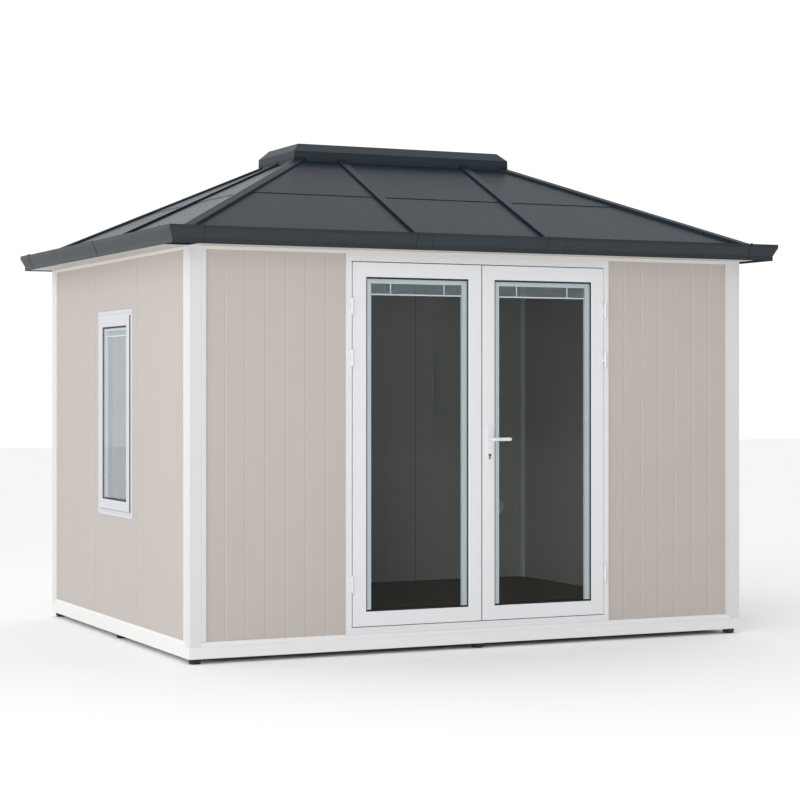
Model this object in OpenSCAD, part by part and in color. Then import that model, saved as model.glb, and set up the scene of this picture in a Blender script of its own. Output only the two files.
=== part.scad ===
// Garden summerhouse: insulated wall panels on a raised base, glazed double doors,
// a side window and a hipped sheet roof with gutters and a ridge cap.
// +X runs along the front, the doors face -Y, +Z is up. The origin is on the ground
// in the middle of the footprint.

/* [Building] */
// Width over the corner posts
body_w = 3600; // [3000:50:4800]
// Depth over the corner posts
body_d = 2760; // [2200:20:3400]
// Height of the wall panels
wall_h = 2164; // [2100:4:2500]

/* [Base] */
// Height of the levelling feet
foot_h = 30; // [20:1:60]
// Width of a levelling foot across its corners
foot_w = 74; // [60:1:90]
// Height of the base rails
rail_h = 92; // [70:1:140]
// Width of the base rails, corner posts and top rails
rail_w = 100; // [90:1:140]
// How far a corner post laps down over the base rails
post_lap = 28; // [10:1:50]
// Number of floor joists
joist_count = 3; // [2:1:6]
// Width of a floor joist
joist_w = 50; // [40:1:80]
// Thickness of the floor deck
deck_t = 18; // [15:1:30]

/* [Walls] */
// Thickness of the wall panels
panel_t = 60; // [40:1:66]
// How far the panels sit behind the faces of the posts and rails
panel_recess = 12; // [6:1:20]
// Width of the joint between two panels
panel_joint = 2; // [1:0.5:4]
// Number of panels in the back wall
back_panels = 4; // [3:1:6]
// Height of the top rails at their outer face
top_rail_h = 100; // [80:1:140]

/* [Doorway] */
// Width over the door frame
door_w = 1720; // [1500:10:2000]
// Gap between the door frame and the top rail
door_head_gap = 10; // [4:1:20]
// Face width of the door frame
frame_face = 34; // [28:1:50]
// Height of the door sill
sill_h = 37; // [30:1:60]
// Depth of the door frame from front to back
frame_depth = 72; // [66:1:90]
// Overlap of the door stop behind the leaves
stop_lap = 16; // [10:1:24]

/* [Doors] */
// Clear gap around and between the door leaves
leaf_gap = 5; // [5:0.5:8]
// Thickness of a door leaf
leaf_t = 50; // [44:1:60]
// How far the leaves stand in front of the door frame
leaf_proud = 6; // [2:1:12]
// Face width of the leaf's stiles and rails
stile_w = 83; // [76:1:110]
// How much narrower a leaf is at its back, so that it can swing
meet_bevel = 3; // [2:0.5:6]
// Thickness of a pane of glass
pane_t = 5; // [4:1:6]
// Cavity between the two panes
cavity_t = 22; // [16:1:26]
// Depth of the glass behind the face of a leaf
glass_recess = 10; // [6:1:14]
// How far the glass runs into the grooves of its frame
glass_bite = 12; // [8:1:18]
// Width of the channel between the panes that guides the blind
channel_w = 36; // [20:1:45]
// Height of the gathered blind
blind_h = 66; // [40:1:120]

/* [Hinges and handle] */
// Heights of the hinges above the bottom of the door frame
hinge_heights = [285, 1569, 1864]; // [150:1:1950]
// Length of a hinge barrel
hinge_l = 88; // [70:1:110]
// Radius of a hinge barrel
hinge_r = 8; // [7:0.5:9]
// Radius of a hinge pin
hinge_pin_r = 4; // [3:0.5:5]
// Thickness of a hinge plate
hinge_plate_t = 3; // [2:0.5:4]
// Height of the handle above the bottom of the door frame
handle_height = 1099; // [950:1:1200]
// Distance of the handle from the meeting edge
backset = 45; // [38:1:60]
// Width of the handle's backplate
plate_w = 38; // [32:1:46]
// Height of the handle's backplate
plate_h = 230; // [200:1:260]
// Thickness of the handle's backplate
plate_t = 9; // [6:1:12]
// Length of the lever
lever_l = 122; // [100:1:140]
// Thickness of the lever
lever_d = 20; // [16:1:24]
// Distance of the lever from the leaf
lever_reach = 52; // [46:1:60]
// Distance of the keyhole below the lever
lock_drop = 92; // [70:1:100]

/* [Window] */
// Width over the window frame
window_w = 680; // [500:10:760]
// Height over the window frame
window_h = 1252; // [900:4:1400]
// Height of the window above the base rails
window_sill = 619; // [400:1:900]
// Face width of the window frame
window_face = 36; // [30:1:50]
// Face width of the sash
sash_w = 58; // [50:1:70]
// Gap between the sash and the window frame
sash_gap = 4; // [2:0.5:6]
// How far the window frame stands out of the panel
window_proud = 7; // [4:1:12]
// How far the sash stands out of the window frame
sash_proud = 5; // [0:1:8]
// Thickness of the sash
sash_t = 50; // [44:1:56]
// Depth of the glass behind the face of the sash
sash_glass_recess = 6; // [4:1:10]
// Width of the channel that guides the window's blind
sash_channel_w = 24; // [16:1:40]
// Height of the window's gathered blind
sash_blind_h = 38; // [24:1:80]

/* [Roof] */
// Pitch of the roof, the same on all four sides
roof_pitch = 25; // [15:1:35]
// Thickness of the roof sheets
roof_t = 30; // [20:1:50]
// Overhang of the roof sheets beyond the walls
sheet_overhang = 110; // [90:1:140]
// Half the depth of the opening under the ridge cap
opening_half = 245; // [150:5:350]
// Height by which hip and rib strips stand off the sheets
strip_t = 15; // [8:1:20]
// Width of a rib strip
rib_w = 56; // [40:1:80]
// Distance between the two ribs of a long slope
rib_pitch = 850; // [600:10:1100]
// Width of a hip strip
hip_w = 84; // [60:1:110]
// Width of a hip rafter
rafter_w = 50; // [40:1:80]
// Depth of the hip rafters and of the curb under the ridge cap
rafter_h = 80; // [60:1:120]

/* [Ridge cap] */
// How far the cap laps over the opening at the front and back
cap_lap_side = 60; // [40:1:90]
// How far the cap laps over the opening at the ends
cap_lap_end = 76; // [40:1:100]
// Gap between the cap's rim and the rib and hip strips
cap_clear = 1; // [1:0.5:6]
// Height of the cap's upright rim
cap_rim_h = 45; // [30:1:60]
// Height of the cap's sloping border
cap_slope_h = 51; // [30:1:60]
// Width of the sloping border at the front and back
cap_slope_side = 59; // [40:1:80]
// Width of the sloping border at the ends
cap_slope_end = 48; // [40:1:80]
// Thickness of the cap, gutter and soffit sheet
sheet_t = 3; // [2:0.5:4]

/* [Gutter] */
// Height of the gutter's face
gutter_h = 98; // [80:1:120]
// Height of the gutter above the wall panels
gutter_rise = 20; // [10:1:40]
// How far the gutter's lip stands out from the wall
lip_out = 170; // [160:1:200]
// How far the gutter's foot stands out from the wall
gutter_out = 146; // [140:1:160]
// Height of the gutter's lip
lip_h = 20; // [12:1:30]
// Height of the gutter's lower band
band_h = 27; // [20:1:35]
// Distance of the gutter's inner wall from the house wall
gutter_in = 97; // [80:1:105]
// Height of the gutter's inner wall
gutter_in_h = 24; // [16:1:30]
// Thickness of the soffit boards
soffit_t = 6; // [4:1:10]

/* [Fittings] */
// Diameter of the round port cover on the back wall
port_d = 122; // [80:1:150]
// Thickness of the port cover
port_t = 10; // [6:1:16]
// Place of the port across the back wall
port_x = 1505; // [1000:5:1600]
// Height of the port above the base rails
port_z = 533; // [300:1:900]
// Length of a shelf rail on the back wall
rack_l = 706; // [500:2:800]
// Height of a shelf rail
rack_h = 28; // [18:1:40]
// Heights of the shelf rails above the base rails
rack_heights = [1291, 1588]; // [300:1:2000]
// Middle of the shelf rails along the back wall
rack_x = 1265; // [900:5:1300]
// Height of the slotted upright
upright_h = 470; // [400:5:900]
// Place of the slotted upright along the back wall
upright_x = 1020; // [950:5:1200]

/* [Hidden] */
$fn = 48;

hw = body_w / 2;
hd = body_d / 2;
cut = 1;                    // overrun of every cutting solid
hairline = 0.5;             // joint between solids that share a node
deck_gap = 2;               // gap around the floor deck
foot_turn = 20;             // the feet are screwed in at different angles
side_panels = 3;
rail_top = foot_h + rail_h;
wall_top = rail_top + wall_h;
inner_face = panel_recess + panel_t;
beam_top = wall_top + top_rail_h;

white = "whitesmoke";
panel_tone = "silver";
slate = "dimgray";
glass_tone = [0.55, 0.65, 0.68, 0.5];
blind_tone = "lightsteelblue";

// Roof heights at a distance `out` beyond the wall's outer face
pitch_rise = tan(roof_pitch);
sheet_v = roof_t / cos(roof_pitch);
strip_v = strip_t / cos(roof_pitch);
rafter_v = rafter_h / cos(roof_pitch);
function under_z(out) = beam_top - out * pitch_rise;
function sheet_z(out) = under_z(out) + sheet_v;
function strip_z(out) = sheet_z(out) + strip_v;
opening_in = hd - opening_half;
seat_gap = 0.05;            // between the rafters and the sheets on them
curb_t = 20;
curb_set = 1 + max(0, cap_slope_side + sheet_t - cap_lap_side,
    cap_slope_end + sheet_t - cap_lap_end);
cap_half_d = opening_half + cap_lap_side;
cap_half_w = hw - opening_in + cap_lap_end;
cap_z = strip_z(min(cap_lap_side, cap_lap_end) - sheet_t - opening_in) + cap_clear;
cap_top = cap_z + cap_rim_h + cap_slope_h;
gutter_z = wall_top + gutter_rise;

// Glazing
glass_clear = 1;            // room for the setting blocks around a pane
unit_t = 2 * pane_t + cavity_t;
stack_t = 14;               // thickness of the gathered slats
stack_gap = 3;              // gap beside the gathered slats

// Doors, measured from the middle of the doorway
frame_z = rail_top;
frame_top = wall_top - door_head_gap;
head_seal_recess = 20;
stop_y = leaf_t + leaf_gap - leaf_proud;
leaf_z = frame_z + sill_h + leaf_gap;
leaf_h = frame_top - frame_face - leaf_gap - leaf_z;
leaf_w = door_w / 2 - frame_face - 3 * leaf_gap / 2;
leaf_edge = leaf_w + leaf_gap / 2;
leaf_face = -hd - leaf_proud;
leaf_back = leaf_face + leaf_t;
pin_clear = 0.05;           // running clearance of a pin in its bore
knuckle_gap = 0.5;
hinge_x = leaf_edge + hinge_r;
hinge_y = leaf_face - hinge_r;
hinge_plate_w = 24;
hinge_arm_w = 8;
hinge_side_gap = 3.5;       // between a leaf's hinge plate and the fixed knuckles
finial_r = 5.5;
finial_h = 6;

// Handle
handle_x = leaf_gap / 2 + backset;
handle_z = frame_z + handle_height;
plate_up = 86;              // height of the backplate above the lever
plate_corner = 6;
neck_r = 9;
spindle_r = 6;
spindle_clear = 2;
lever_t = 12;
lock_r = 8.5;
lock_fin_w = 10;
lock_fin_h = 24;
lock_out = 3;
lock_clear = 0.3;

// Window, measured from the wall's outer face
window_face_y = panel_recess - window_proud;
sash_face_y = window_face_y - sash_proud;
sash_back_y = sash_face_y + sash_t;
sash_out_w = window_w - 2 * (window_face + sash_gap);
sash_out_h = window_h - 2 * (window_face + sash_gap);
window_stop = 14;           // lap of the window frame behind the sash
window_fit = 0.5;           // gap between the window frame and the cut in the panel
window_z = rail_top + window_sill;

// Back wall fittings
rack_t = 18;
upright_w = 40;
upright_t = 12;
upright_z = 1205;           // foot of the upright above the base rails

// Strip along the front, drawn as points [distance out of the wall, height] and mitred
// at both ends, for a building of half width a and half depth b
module front_sweep(a, b, outline, gap) {
    reach = max([for (p = outline) p[0]]);
    back = min([for (p = outline) p[0]]);
    low = min([for (p = outline) p[1]]);
    high = max([for (p = outline) p[1]]);
    intersection() {
        translate([-(a + reach), -b, 0])
            rotate([90, 0, 90])
                linear_extrude(2 * (a + reach))
                    polygon([for (p = outline) [-p[0], p[1]]]);
        translate([0, 0, low - cut])
            linear_extrude(high - low + 2 * cut)
                polygon([[-(a + reach) + gap, -(b + reach)], [a + reach - gap, -(b + reach)],
                    [a + back - gap, -(b + back)], [-(a + back) + gap, -(b + back)]]);
    }
}

module front_strip(outline, gap = 0) front_sweep(hw, hd, outline, gap);
module back_strip(outline, gap = 0) rotate(180) front_sweep(hw, hd, outline, gap);
module right_strip(outline, gap = 0) rotate(90) front_sweep(hd, hw, outline, gap);
module left_strip(outline, gap = 0) rotate(-90) front_sweep(hd, hw, outline, gap);

module four_strips(outline) {
    front_strip(outline, hairline);
    back_strip(outline, hairline);
    left_strip(outline, hairline);
    right_strip(outline, hairline);
}

// The two slopes that meet at the front right hip, kept within a band along the hip
module hip_strip(outline, width) {
    reach = hw + hd;
    intersection() {
        union() {
            front_strip(outline);
            right_strip(outline);
        }
        translate([hw, -hd, 0])
            rotate(-45)
                translate([-reach, -width / 2, 0])
                    cube([2 * reach, width, beam_top + reach]);
    }
}

module at_corners() {
    for (sx = [0, 1], sy = [0, 1])
        mirror([sx, 0, 0])
            mirror([0, sy, 0])
                children();
}

// Roof layer between two heights, from `from` beyond the wall to `to` inside it
function slope_outline(from, to, low, high) =
    [[from, under_z(from) + low], [from, under_z(from) + high],
        [-to, under_z(-to) + high], [-to, under_z(-to) + low]];

module feet() {
    color("black")
        for (fx = [-1, 0, 1], fy = [-1, 0, 1])
            if (fx != 0 || fy != 0)
                translate([fx * (hw - rail_w / 2), fy * (hd - rail_w / 2), 0])
                    rotate(foot_turn * (2 * fx + fy))
                        cylinder(h = foot_h, d = foot_w, $fn = 6);
}

module base_rails() {
    color(white)
        difference() {
            union() {
                for (side = [-1, 1])
                    translate([-hw, side * (hd - rail_w / 2) - rail_w / 2, foot_h])
                        cube([body_w, rail_w, rail_h]);
                for (side = [-1, 1])
                    translate([side * (hw - rail_w / 2) - rail_w / 2,
                            -hd + rail_w + hairline, foot_h])
                        cube([rail_w, body_d - 2 * (rail_w + hairline), rail_h]);
            }
            at_corners()
                translate([hw - rail_w, hd - rail_w, rail_top - post_lap])
                    cube([rail_w + cut, rail_w + cut, post_lap + cut]);
        }
}

module floor_joists() {
    pitch = body_w / (joist_count + 1);
    color("gray")
        for (i = [1 : joist_count])
            translate([-hw + i * pitch - joist_w / 2, -hd + rail_w, foot_h])
                cube([joist_w, body_d - 2 * rail_w, rail_h]);
}

module floor_deck() {
    edge = inner_face + deck_gap;
    sill_edge = max(inner_face, frame_depth) + deck_gap;
    color("saddlebrown")
        difference() {
            translate([-hw + edge, -hd + sill_edge, rail_top])
                cube([body_w - 2 * edge, body_d - edge - sill_edge, deck_t]);
            at_corners()
                translate([hw - rail_w - deck_gap, hd - rail_w - deck_gap, rail_top - cut])
                    cube([rail_w, rail_w, deck_t + 2 * cut]);
        }
}

module corner_posts() {
    color(white)
        at_corners()
            translate([hw - rail_w, hd - rail_w, rail_top - post_lap])
                cube([rail_w, rail_w, beam_top - rail_top + post_lap]);
}

module top_rail(half_length, half_depth) {
    translate([-half_length, -half_depth, 0])
        rotate([90, 0, 90])
            linear_extrude(2 * half_length)
                polygon([[0, wall_top], [rail_w, wall_top], [rail_w, under_z(-rail_w)],
                    [0, beam_top]]);
}

module top_rails() {
    color(white) {
        for (turn = [0, 180])
            rotate(turn)
                top_rail(hw - rail_w - hairline, hd);
        for (turn = [90, 270])
            rotate(turn)
                top_rail(hd - rail_w - hairline, hw);
    }
}

// Wall panel along the front from x0 to x1, for a building of half depth b
module wall_panel(x0, x1, b) {
    translate([x0 + panel_joint / 2, -b + panel_recess, rail_top])
        cube([x1 - x0 - panel_joint, panel_t, wall_h]);
}

// Panel number i of n along a wall of half length a, counted from its left
module wall_module(i, n, a, b) {
    step = 2 * (a - rail_w) / n;
    wall_panel(-a + rail_w + i * step, -a + rail_w + (i + 1) * step, b);
}

module front_wall_left() {
    color(panel_tone)
        wall_panel(-hw + rail_w, -door_w / 2, hd);
}

module front_wall_right() {
    color(panel_tone)
        wall_panel(door_w / 2, hw - rail_w, hd);
}

module left_wall_front() {
    color(panel_tone)
        rotate(-90)
            wall_module(2, side_panels, hd, hw);
}

module left_wall_middle() {
    hole_w = window_w - window_face;
    hole_h = window_h - window_face;
    color(panel_tone)
        rotate(-90)
            difference() {
                wall_module(1, side_panels, hd, hw);
                translate([-hole_w / 2, -hw, window_z + window_face / 2])
                    cube([hole_w, inner_face + cut, hole_h]);
            }
}

module left_wall_back() {
    color(panel_tone)
        rotate(-90)
            wall_module(0, side_panels, hd, hw);
}

module right_wall() {
    color(panel_tone)
        rotate(90)
            for (i = [0 : side_panels - 1])
                wall_module(i, side_panels, hd, hw);
}

module back_wall() {
    color(panel_tone)
        rotate(180)
            for (i = [0 : back_panels - 1])
                wall_module(i, back_panels, hw, hd);
}

// Sill or head of the door frame, with the stop behind the leaves
module frame_cross_member(face) {
    stop_w = door_w - 2 * (frame_face + stop_lap + hairline);
    translate([-door_w / 2, -hd, 0])
        cube([door_w, frame_depth, face]);
    translate([-stop_w / 2, -hd + stop_y, face - cut])
        cube([stop_w, frame_depth - stop_y, stop_lap + cut]);
}

module door_frame() {
    jamb_z = frame_z + sill_h + hairline;
    color(white) {
        translate([0, 0, frame_z])
            frame_cross_member(sill_h);
        translate([0, 0, frame_top])
            mirror([0, 0, 1])
                frame_cross_member(frame_face);
        translate([-door_w / 2, -hd + head_seal_recess, frame_top - cut])
            cube([door_w, frame_depth - head_seal_recess, door_head_gap + cut]);
        for (side = [0, 1])
            mirror([side, 0, 0])
                translate([-door_w / 2, -hd, jamb_z])
                    linear_extrude(frame_top - frame_face - hairline - jamb_z)
                        polygon([[0, 0], [frame_face, 0], [frame_face, stop_y],
                            [frame_face + stop_lap, stop_y],
                            [frame_face + stop_lap, frame_depth], [0, frame_depth]]);
    }
}

// Places a hinge half on the right jamb and mirrors it to the left one
module at_hinges(side) {
    mirror([side, 0, 0])
        for (z = hinge_heights)
            translate([hinge_x, hinge_y, frame_z + z])
                children();
}

module fixed_hinge_half() {
    knuckle_l = hinge_l / 3;
    arm_y = hinge_r + leaf_proud;
    cylinder(h = hinge_l, r = hinge_pin_r, center = true);
    for (end = [0, 1])
        mirror([0, 0, end]) {
            translate([0, 0, knuckle_l / 2 + knuckle_gap]) {
                cylinder(h = knuckle_l - knuckle_gap, r = hinge_r);
                cube([hinge_arm_w, arm_y, knuckle_l - knuckle_gap]);
            }
            translate([0, 0, hinge_l / 2])
                cylinder(h = finial_h, r1 = finial_r, r2 = finial_r / 2);
        }
    translate([0, arm_y - hinge_plate_t, -hinge_l / 2])
        cube([hinge_plate_w, hinge_plate_t, hinge_l]);
}

module frame_hinges() {
    color(white)
        for (side = [0, 1])
            at_hinges(side)
                fixed_hinge_half();
}

module leaf_hinge_half() {
    knuckle_l = hinge_l / 3;
    clear_x = hinge_r + hinge_side_gap;
    difference() {
        union() {
            cylinder(h = knuckle_l, r = hinge_r, center = true);
            translate([-clear_x - cut, hinge_r - hinge_plate_t, -knuckle_l / 2])
                cube([clear_x + cut, hinge_plate_t, knuckle_l]);
            translate([-clear_x - hinge_plate_w, hinge_r - hinge_plate_t, -hinge_l / 2])
                cube([hinge_plate_w, hinge_plate_t, hinge_l]);
        }
        cylinder(h = knuckle_l + 2 * cut, r = hinge_pin_r + pin_clear, center = true);
    }
}

module left_door_hinges() {
    color(white)
        at_hinges(1)
            leaf_hinge_half();
}

module right_door_hinges() {
    color(white)
        at_hinges(0)
            leaf_hinge_half();
}

// Opening and glazing groove of an upright frame of outer size w x h, member width m
module glazing_cut(w, h, m, recess, depth) {
    translate([m, -cut, m])
        cube([w - 2 * m, depth + 2 * cut, h - 2 * m]);
    translate([m - glass_bite, recess, m - glass_bite])
        cube([w - 2 * (m - glass_bite), unit_t, h - 2 * (m - glass_bite)]);
}

module panes(w, h, m, recess) {
    edge = m - glass_bite + glass_clear;
    for (y = [recess, recess + pane_t + cavity_t])
        translate([edge, y, edge])
            cube([w - 2 * edge, pane_t, h - 2 * edge]);
}

// Channel at the top and sides between the panes, with the blind gathered at its top
module blind(w, h, m, recess, channel, stack) {
    edge = m - glass_bite + glass_clear;
    inner = m + channel;
    translate([0, recess + pane_t, 0]) {
        difference() {
            translate([edge, 0, edge])
                cube([w - 2 * edge, cavity_t, h - 2 * edge]);
            translate([inner, -cut, edge - cut])
                cube([w - 2 * inner, cavity_t + 2 * cut, h - inner - edge + cut]);
        }
        translate([inner + stack_gap, (cavity_t - stack_t) / 2, h - inner - stack])
            cube([w - 2 * (inner + stack_gap), stack_t, stack + cut]);
    }
}

// The right leaf's place; the left leaf mirrors it
module on_leaf(side) {
    mirror([side, 0, 0])
        translate([leaf_gap / 2, leaf_face, leaf_z])
            children();
}

module leaf() {
    difference() {
        linear_extrude(leaf_h)
            polygon([[0, 0], [leaf_w, 0], [leaf_w, leaf_t], [meet_bevel, leaf_t]]);
        glazing_cut(leaf_w, leaf_h, stile_w, glass_recess, leaf_t);
    }
}

module left_door() {
    color(white)
        on_leaf(1)
            leaf();
}

module left_door_glass() {
    color(glass_tone)
        on_leaf(1)
            panes(leaf_w, leaf_h, stile_w, glass_recess);
}

module left_door_blind() {
    color(blind_tone)
        on_leaf(1)
            blind(leaf_w, leaf_h, stile_w, glass_recess, channel_w, blind_h);
}

// Section of the lock cylinder, swept through the leaf from front to back
module lock_sweep(extra, from, to) {
    translate([handle_x, from, handle_z - lock_drop])
        rotate([-90, 0, 0]) {
            cylinder(h = to - from, r = lock_r + extra);
            translate([-lock_fin_w / 2 - extra, 0, 0])
                cube([lock_fin_w + 2 * extra, lock_fin_h + extra, to - from]);
        }
}

module across_leaf(r, from, to) {
    translate([handle_x, from, handle_z])
        rotate([-90, 0, 0])
            cylinder(h = to - from, r = r);
}

module right_door() {
    color(white)
        difference() {
            on_leaf(0)
                leaf();
            across_leaf(spindle_r + spindle_clear, leaf_face - cut, leaf_back + cut);
            lock_sweep(lock_clear, leaf_face - cut, leaf_back + cut);
        }
}

module right_door_glass() {
    color(glass_tone)
        on_leaf(0)
            panes(leaf_w, leaf_h, stile_w, glass_recess);
}

module right_door_blind() {
    color(blind_tone)
        on_leaf(0)
            blind(leaf_w, leaf_h, stile_w, glass_recess, channel_w, blind_h);
}

// Backplate with round corners, its back at y
module backplate(y) {
    inset_w = plate_w - 2 * plate_corner;
    inset_h = plate_h - 2 * plate_corner;
    translate([handle_x - plate_w / 2, y, handle_z + plate_up - plate_h]) {
        translate([plate_corner, 0, 0])
            cube([inset_w, plate_t, plate_h]);
        translate([0, 0, plate_corner])
            cube([plate_w, plate_t, inset_h]);
        for (x = [0, inset_w], z = [0, inset_h])
            translate([x + plate_corner, 0, z + plate_corner])
                rotate([-90, 0, 0])
                    cylinder(h = plate_t, r = plate_corner);
    }
}

module handle_plates() {
    front = leaf_face - plate_t;
    back = leaf_back + plate_t;
    color(white)
        difference() {
            union() {
                backplate(front);
                backplate(leaf_back);
            }
            across_leaf(neck_r + pin_clear, front - cut, back + cut);
            lock_sweep(lock_clear, front - cut, back + cut);
        }
}

module lock_cylinder() {
    color("goldenrod")
        lock_sweep(0, leaf_face - plate_t - lock_out, leaf_back + plate_t + lock_out);
}

// Arm of the lever, from the spindle towards +X, its near face at y
module lever_arm(y) {
    tip = lever_l - lever_d / 2;
    translate([handle_x, y, handle_z]) {
        rotate([-90, 0, 0])
            cylinder(h = lever_t, r = lever_d / 2);
        translate([0, 0, -lever_d / 2])
            cube([tip, lever_t, lever_d]);
        translate([tip, 0, 0])
            rotate([-90, 0, 0])
                cylinder(h = lever_t, r = lever_d / 2);
    }
}

module door_lever() {
    front = leaf_face - lever_reach;
    back = leaf_back + lever_reach;
    color(white) {
        across_leaf(spindle_r, front, back);
        across_leaf(neck_r, front, leaf_face - cut);
        across_leaf(neck_r, leaf_back + cut, back);
        lever_arm(front - lever_t / 2);
        lever_arm(back - lever_t / 2);
    }
}

// The window is drawn as if its wall were the front one
module on_window(w, h, y) {
    rotate(-90)
        translate([-w / 2, -hw + y, window_z + (window_h - h) / 2])
            children();
}

module window_frame() {
    body_inset = window_face / 2 + window_fit;
    stop_w = window_face + window_stop;
    color(white)
        on_window(window_w, window_h, window_face_y)
            difference() {
                union() {
                    cube([window_w, window_proud, window_h]);
                    translate([body_inset, 0, body_inset])
                        cube([window_w - 2 * body_inset, inner_face - window_face_y,
                            window_h - 2 * body_inset]);
                }
                translate([window_face, -cut, window_face])
                    cube([window_w - 2 * window_face, sash_back_y - window_face_y + cut,
                        window_h - 2 * window_face]);
                translate([stop_w, 0, stop_w])
                    cube([window_w - 2 * stop_w, inner_face + cut, window_h - 2 * stop_w]);
            }
}

module window_sash() {
    color(white)
        on_window(sash_out_w, sash_out_h, sash_face_y)
            difference() {
                cube([sash_out_w, sash_t, sash_out_h]);
                glazing_cut(sash_out_w, sash_out_h, sash_w, sash_glass_recess, sash_t);
            }
}

module window_glass() {
    color(glass_tone)
        on_window(sash_out_w, sash_out_h, sash_face_y)
            panes(sash_out_w, sash_out_h, sash_w, sash_glass_recess);
}

module window_blind() {
    color(blind_tone)
        on_window(sash_out_w, sash_out_h, sash_face_y)
            blind(sash_out_w, sash_out_h, sash_w, sash_glass_recess, sash_channel_w,
                sash_blind_h);
}

// Round covers on both faces of the back wall
module wall_port() {
    color(white)
        for (y = [hd - inner_face - port_t, hd - panel_recess])
            translate([port_x, y, rail_top + port_z])
                rotate([-90, 0, 0])
                    cylinder(h = port_t, d = port_d);
}

// Two shelf rails and the slotted upright that joins them
module wall_rack() {
    face = hd - inner_face;
    color("gainsboro") {
        for (z = rack_heights)
            translate([rack_x - rack_l / 2, face - rack_t, rail_top + z - rack_h / 2])
                cube([rack_l, rack_t, rack_h]);
        translate([upright_x - upright_w / 2, face - upright_t, rail_top + upright_z])
            cube([upright_w, upright_t, upright_h]);
    }
}

sheet_outline = slope_outline(sheet_overhang, opening_in, 0, sheet_v);
module roof_front() color(slate) front_strip(sheet_outline);
module roof_back() color(slate) back_strip(sheet_outline);
module roof_left() color(slate) left_strip(sheet_outline);
module roof_right() color(slate) right_strip(sheet_outline);

// Hip rafters, and the curb that lines the opening and carries the ridge cap. The curb's
// upper part is set back, clear of the cap's sloping border
module roof_frame() {
    rafter = slope_outline(-rail_w - hairline, opening_in - hairline, -rafter_v, -seat_gap);
    curb_low = under_z(-opening_in) - rafter_v;
    curb_high = cap_top - sheet_t;
    curb_step = curb_high - cap_slope_h;
    color(white) {
        at_corners()
            mirror([0, 1, 0])
                hip_strip(rafter, rafter_w);
        four_strips([[-opening_in, curb_low], [-opening_in, curb_step],
            [-opening_in - curb_set, curb_step], [-opening_in - curb_set, curb_high],
            [-opening_in - curb_t, curb_high], [-opening_in - curb_t, curb_low]]);
    }
}

module roof_ribs() {
    rib = slope_outline(sheet_overhang, opening_in - hairline, sheet_v, sheet_v + strip_v);
    reach = body_w + body_d;
    color(slate)
        for (turn = [0, 180])
            rotate(turn) {
                intersection() {
                    front_strip(rib);
                    for (x = [-rib_pitch / 2, rib_pitch / 2])
                        translate([x - rib_w / 2, -reach, 0])
                            cube([rib_w, reach, reach]);
                }
                intersection() {
                    right_strip(rib);
                    translate([0, -rib_w / 2, 0])
                        cube([reach, rib_w, reach]);
                }
            }
}

module hip_caps() {
    strip = slope_outline(sheet_overhang, opening_in - hairline, sheet_v,
        sheet_v + strip_v);
    color(slate)
        at_corners()
            mirror([0, 1, 0])
                hip_strip(strip, hip_w);
}

// Solid with an upright rim and a sloping border on all four sides
module cap_form(half_w, half_d, top, slope_x, slope_y) {
    slope_z = top - cap_slope_h;
    intersection() {
        translate([-half_w, 0, 0])
            rotate([90, 0, 90])
                linear_extrude(2 * half_w)
                    polygon([[-half_d, cap_z], [half_d, cap_z], [half_d, slope_z],
                        [half_d - slope_y, top], [-half_d + slope_y, top],
                        [-half_d, slope_z]]);
        translate([0, half_d, 0])
            rotate([90, 0, 0])
                linear_extrude(2 * half_d)
                    polygon([[-half_w, cap_z], [half_w, cap_z], [half_w, slope_z],
                        [half_w - slope_x, top], [-half_w + slope_x, top],
                        [-half_w, slope_z]]);
    }
}

module ridge_cap() {
    color(slate)
        difference() {
            cap_form(cap_half_w, cap_half_d, cap_top, cap_slope_end, cap_slope_side);
            translate([0, 0, -sheet_t])
                cap_form(cap_half_w - sheet_t, cap_half_d - sheet_t, cap_top,
                    cap_slope_end, cap_slope_side);
        }
}

gutter_outline = [
    [gutter_out, gutter_z], [gutter_out, gutter_z + band_h],
    [lip_out, gutter_z + gutter_h - lip_h], [lip_out, gutter_z + gutter_h],
    [lip_out - sheet_t, gutter_z + gutter_h], [lip_out - sheet_t, gutter_z + gutter_h - lip_h],
    [gutter_out - sheet_t, gutter_z + band_h], [gutter_out - sheet_t, gutter_z + sheet_t],
    [gutter_in + sheet_t, gutter_z + sheet_t], [gutter_in + sheet_t, gutter_z + gutter_in_h],
    [gutter_in, gutter_z + gutter_in_h], [gutter_in, gutter_z]];
module gutter_front() color(slate) front_strip(gutter_outline);
module gutter_back() color(slate) back_strip(gutter_outline);
module gutter_left() color(slate) left_strip(gutter_outline);
module gutter_right() color(slate) right_strip(gutter_outline);

module soffit() {
    color("black")
        four_strips([[0, gutter_z], [gutter_in, gutter_z],
            [gutter_in, gutter_z + soffit_t], [0, gutter_z + soffit_t]]);
}

feet();
base_rails();
floor_joists();
floor_deck();
corner_posts();
top_rails();
front_wall_left();
front_wall_right();
left_wall_front();
left_wall_middle();
left_wall_back();
right_wall();
back_wall();
door_frame();
frame_hinges();
window_frame();
window_sash();
window_glass();
window_blind();
wall_port();
wall_rack();
roof_front();
roof_back();
roof_left();
roof_right();
roof_frame();
roof_ribs();
hip_caps();
ridge_cap();
gutter_front();
gutter_back();
gutter_left();
gutter_right();
soffit();
left_door();
left_door_glass();
left_door_blind();
left_door_hinges();
right_door();
right_door_glass();
right_door_blind();
right_door_hinges();
handle_plates();
lock_cylinder();
door_lever();
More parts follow.
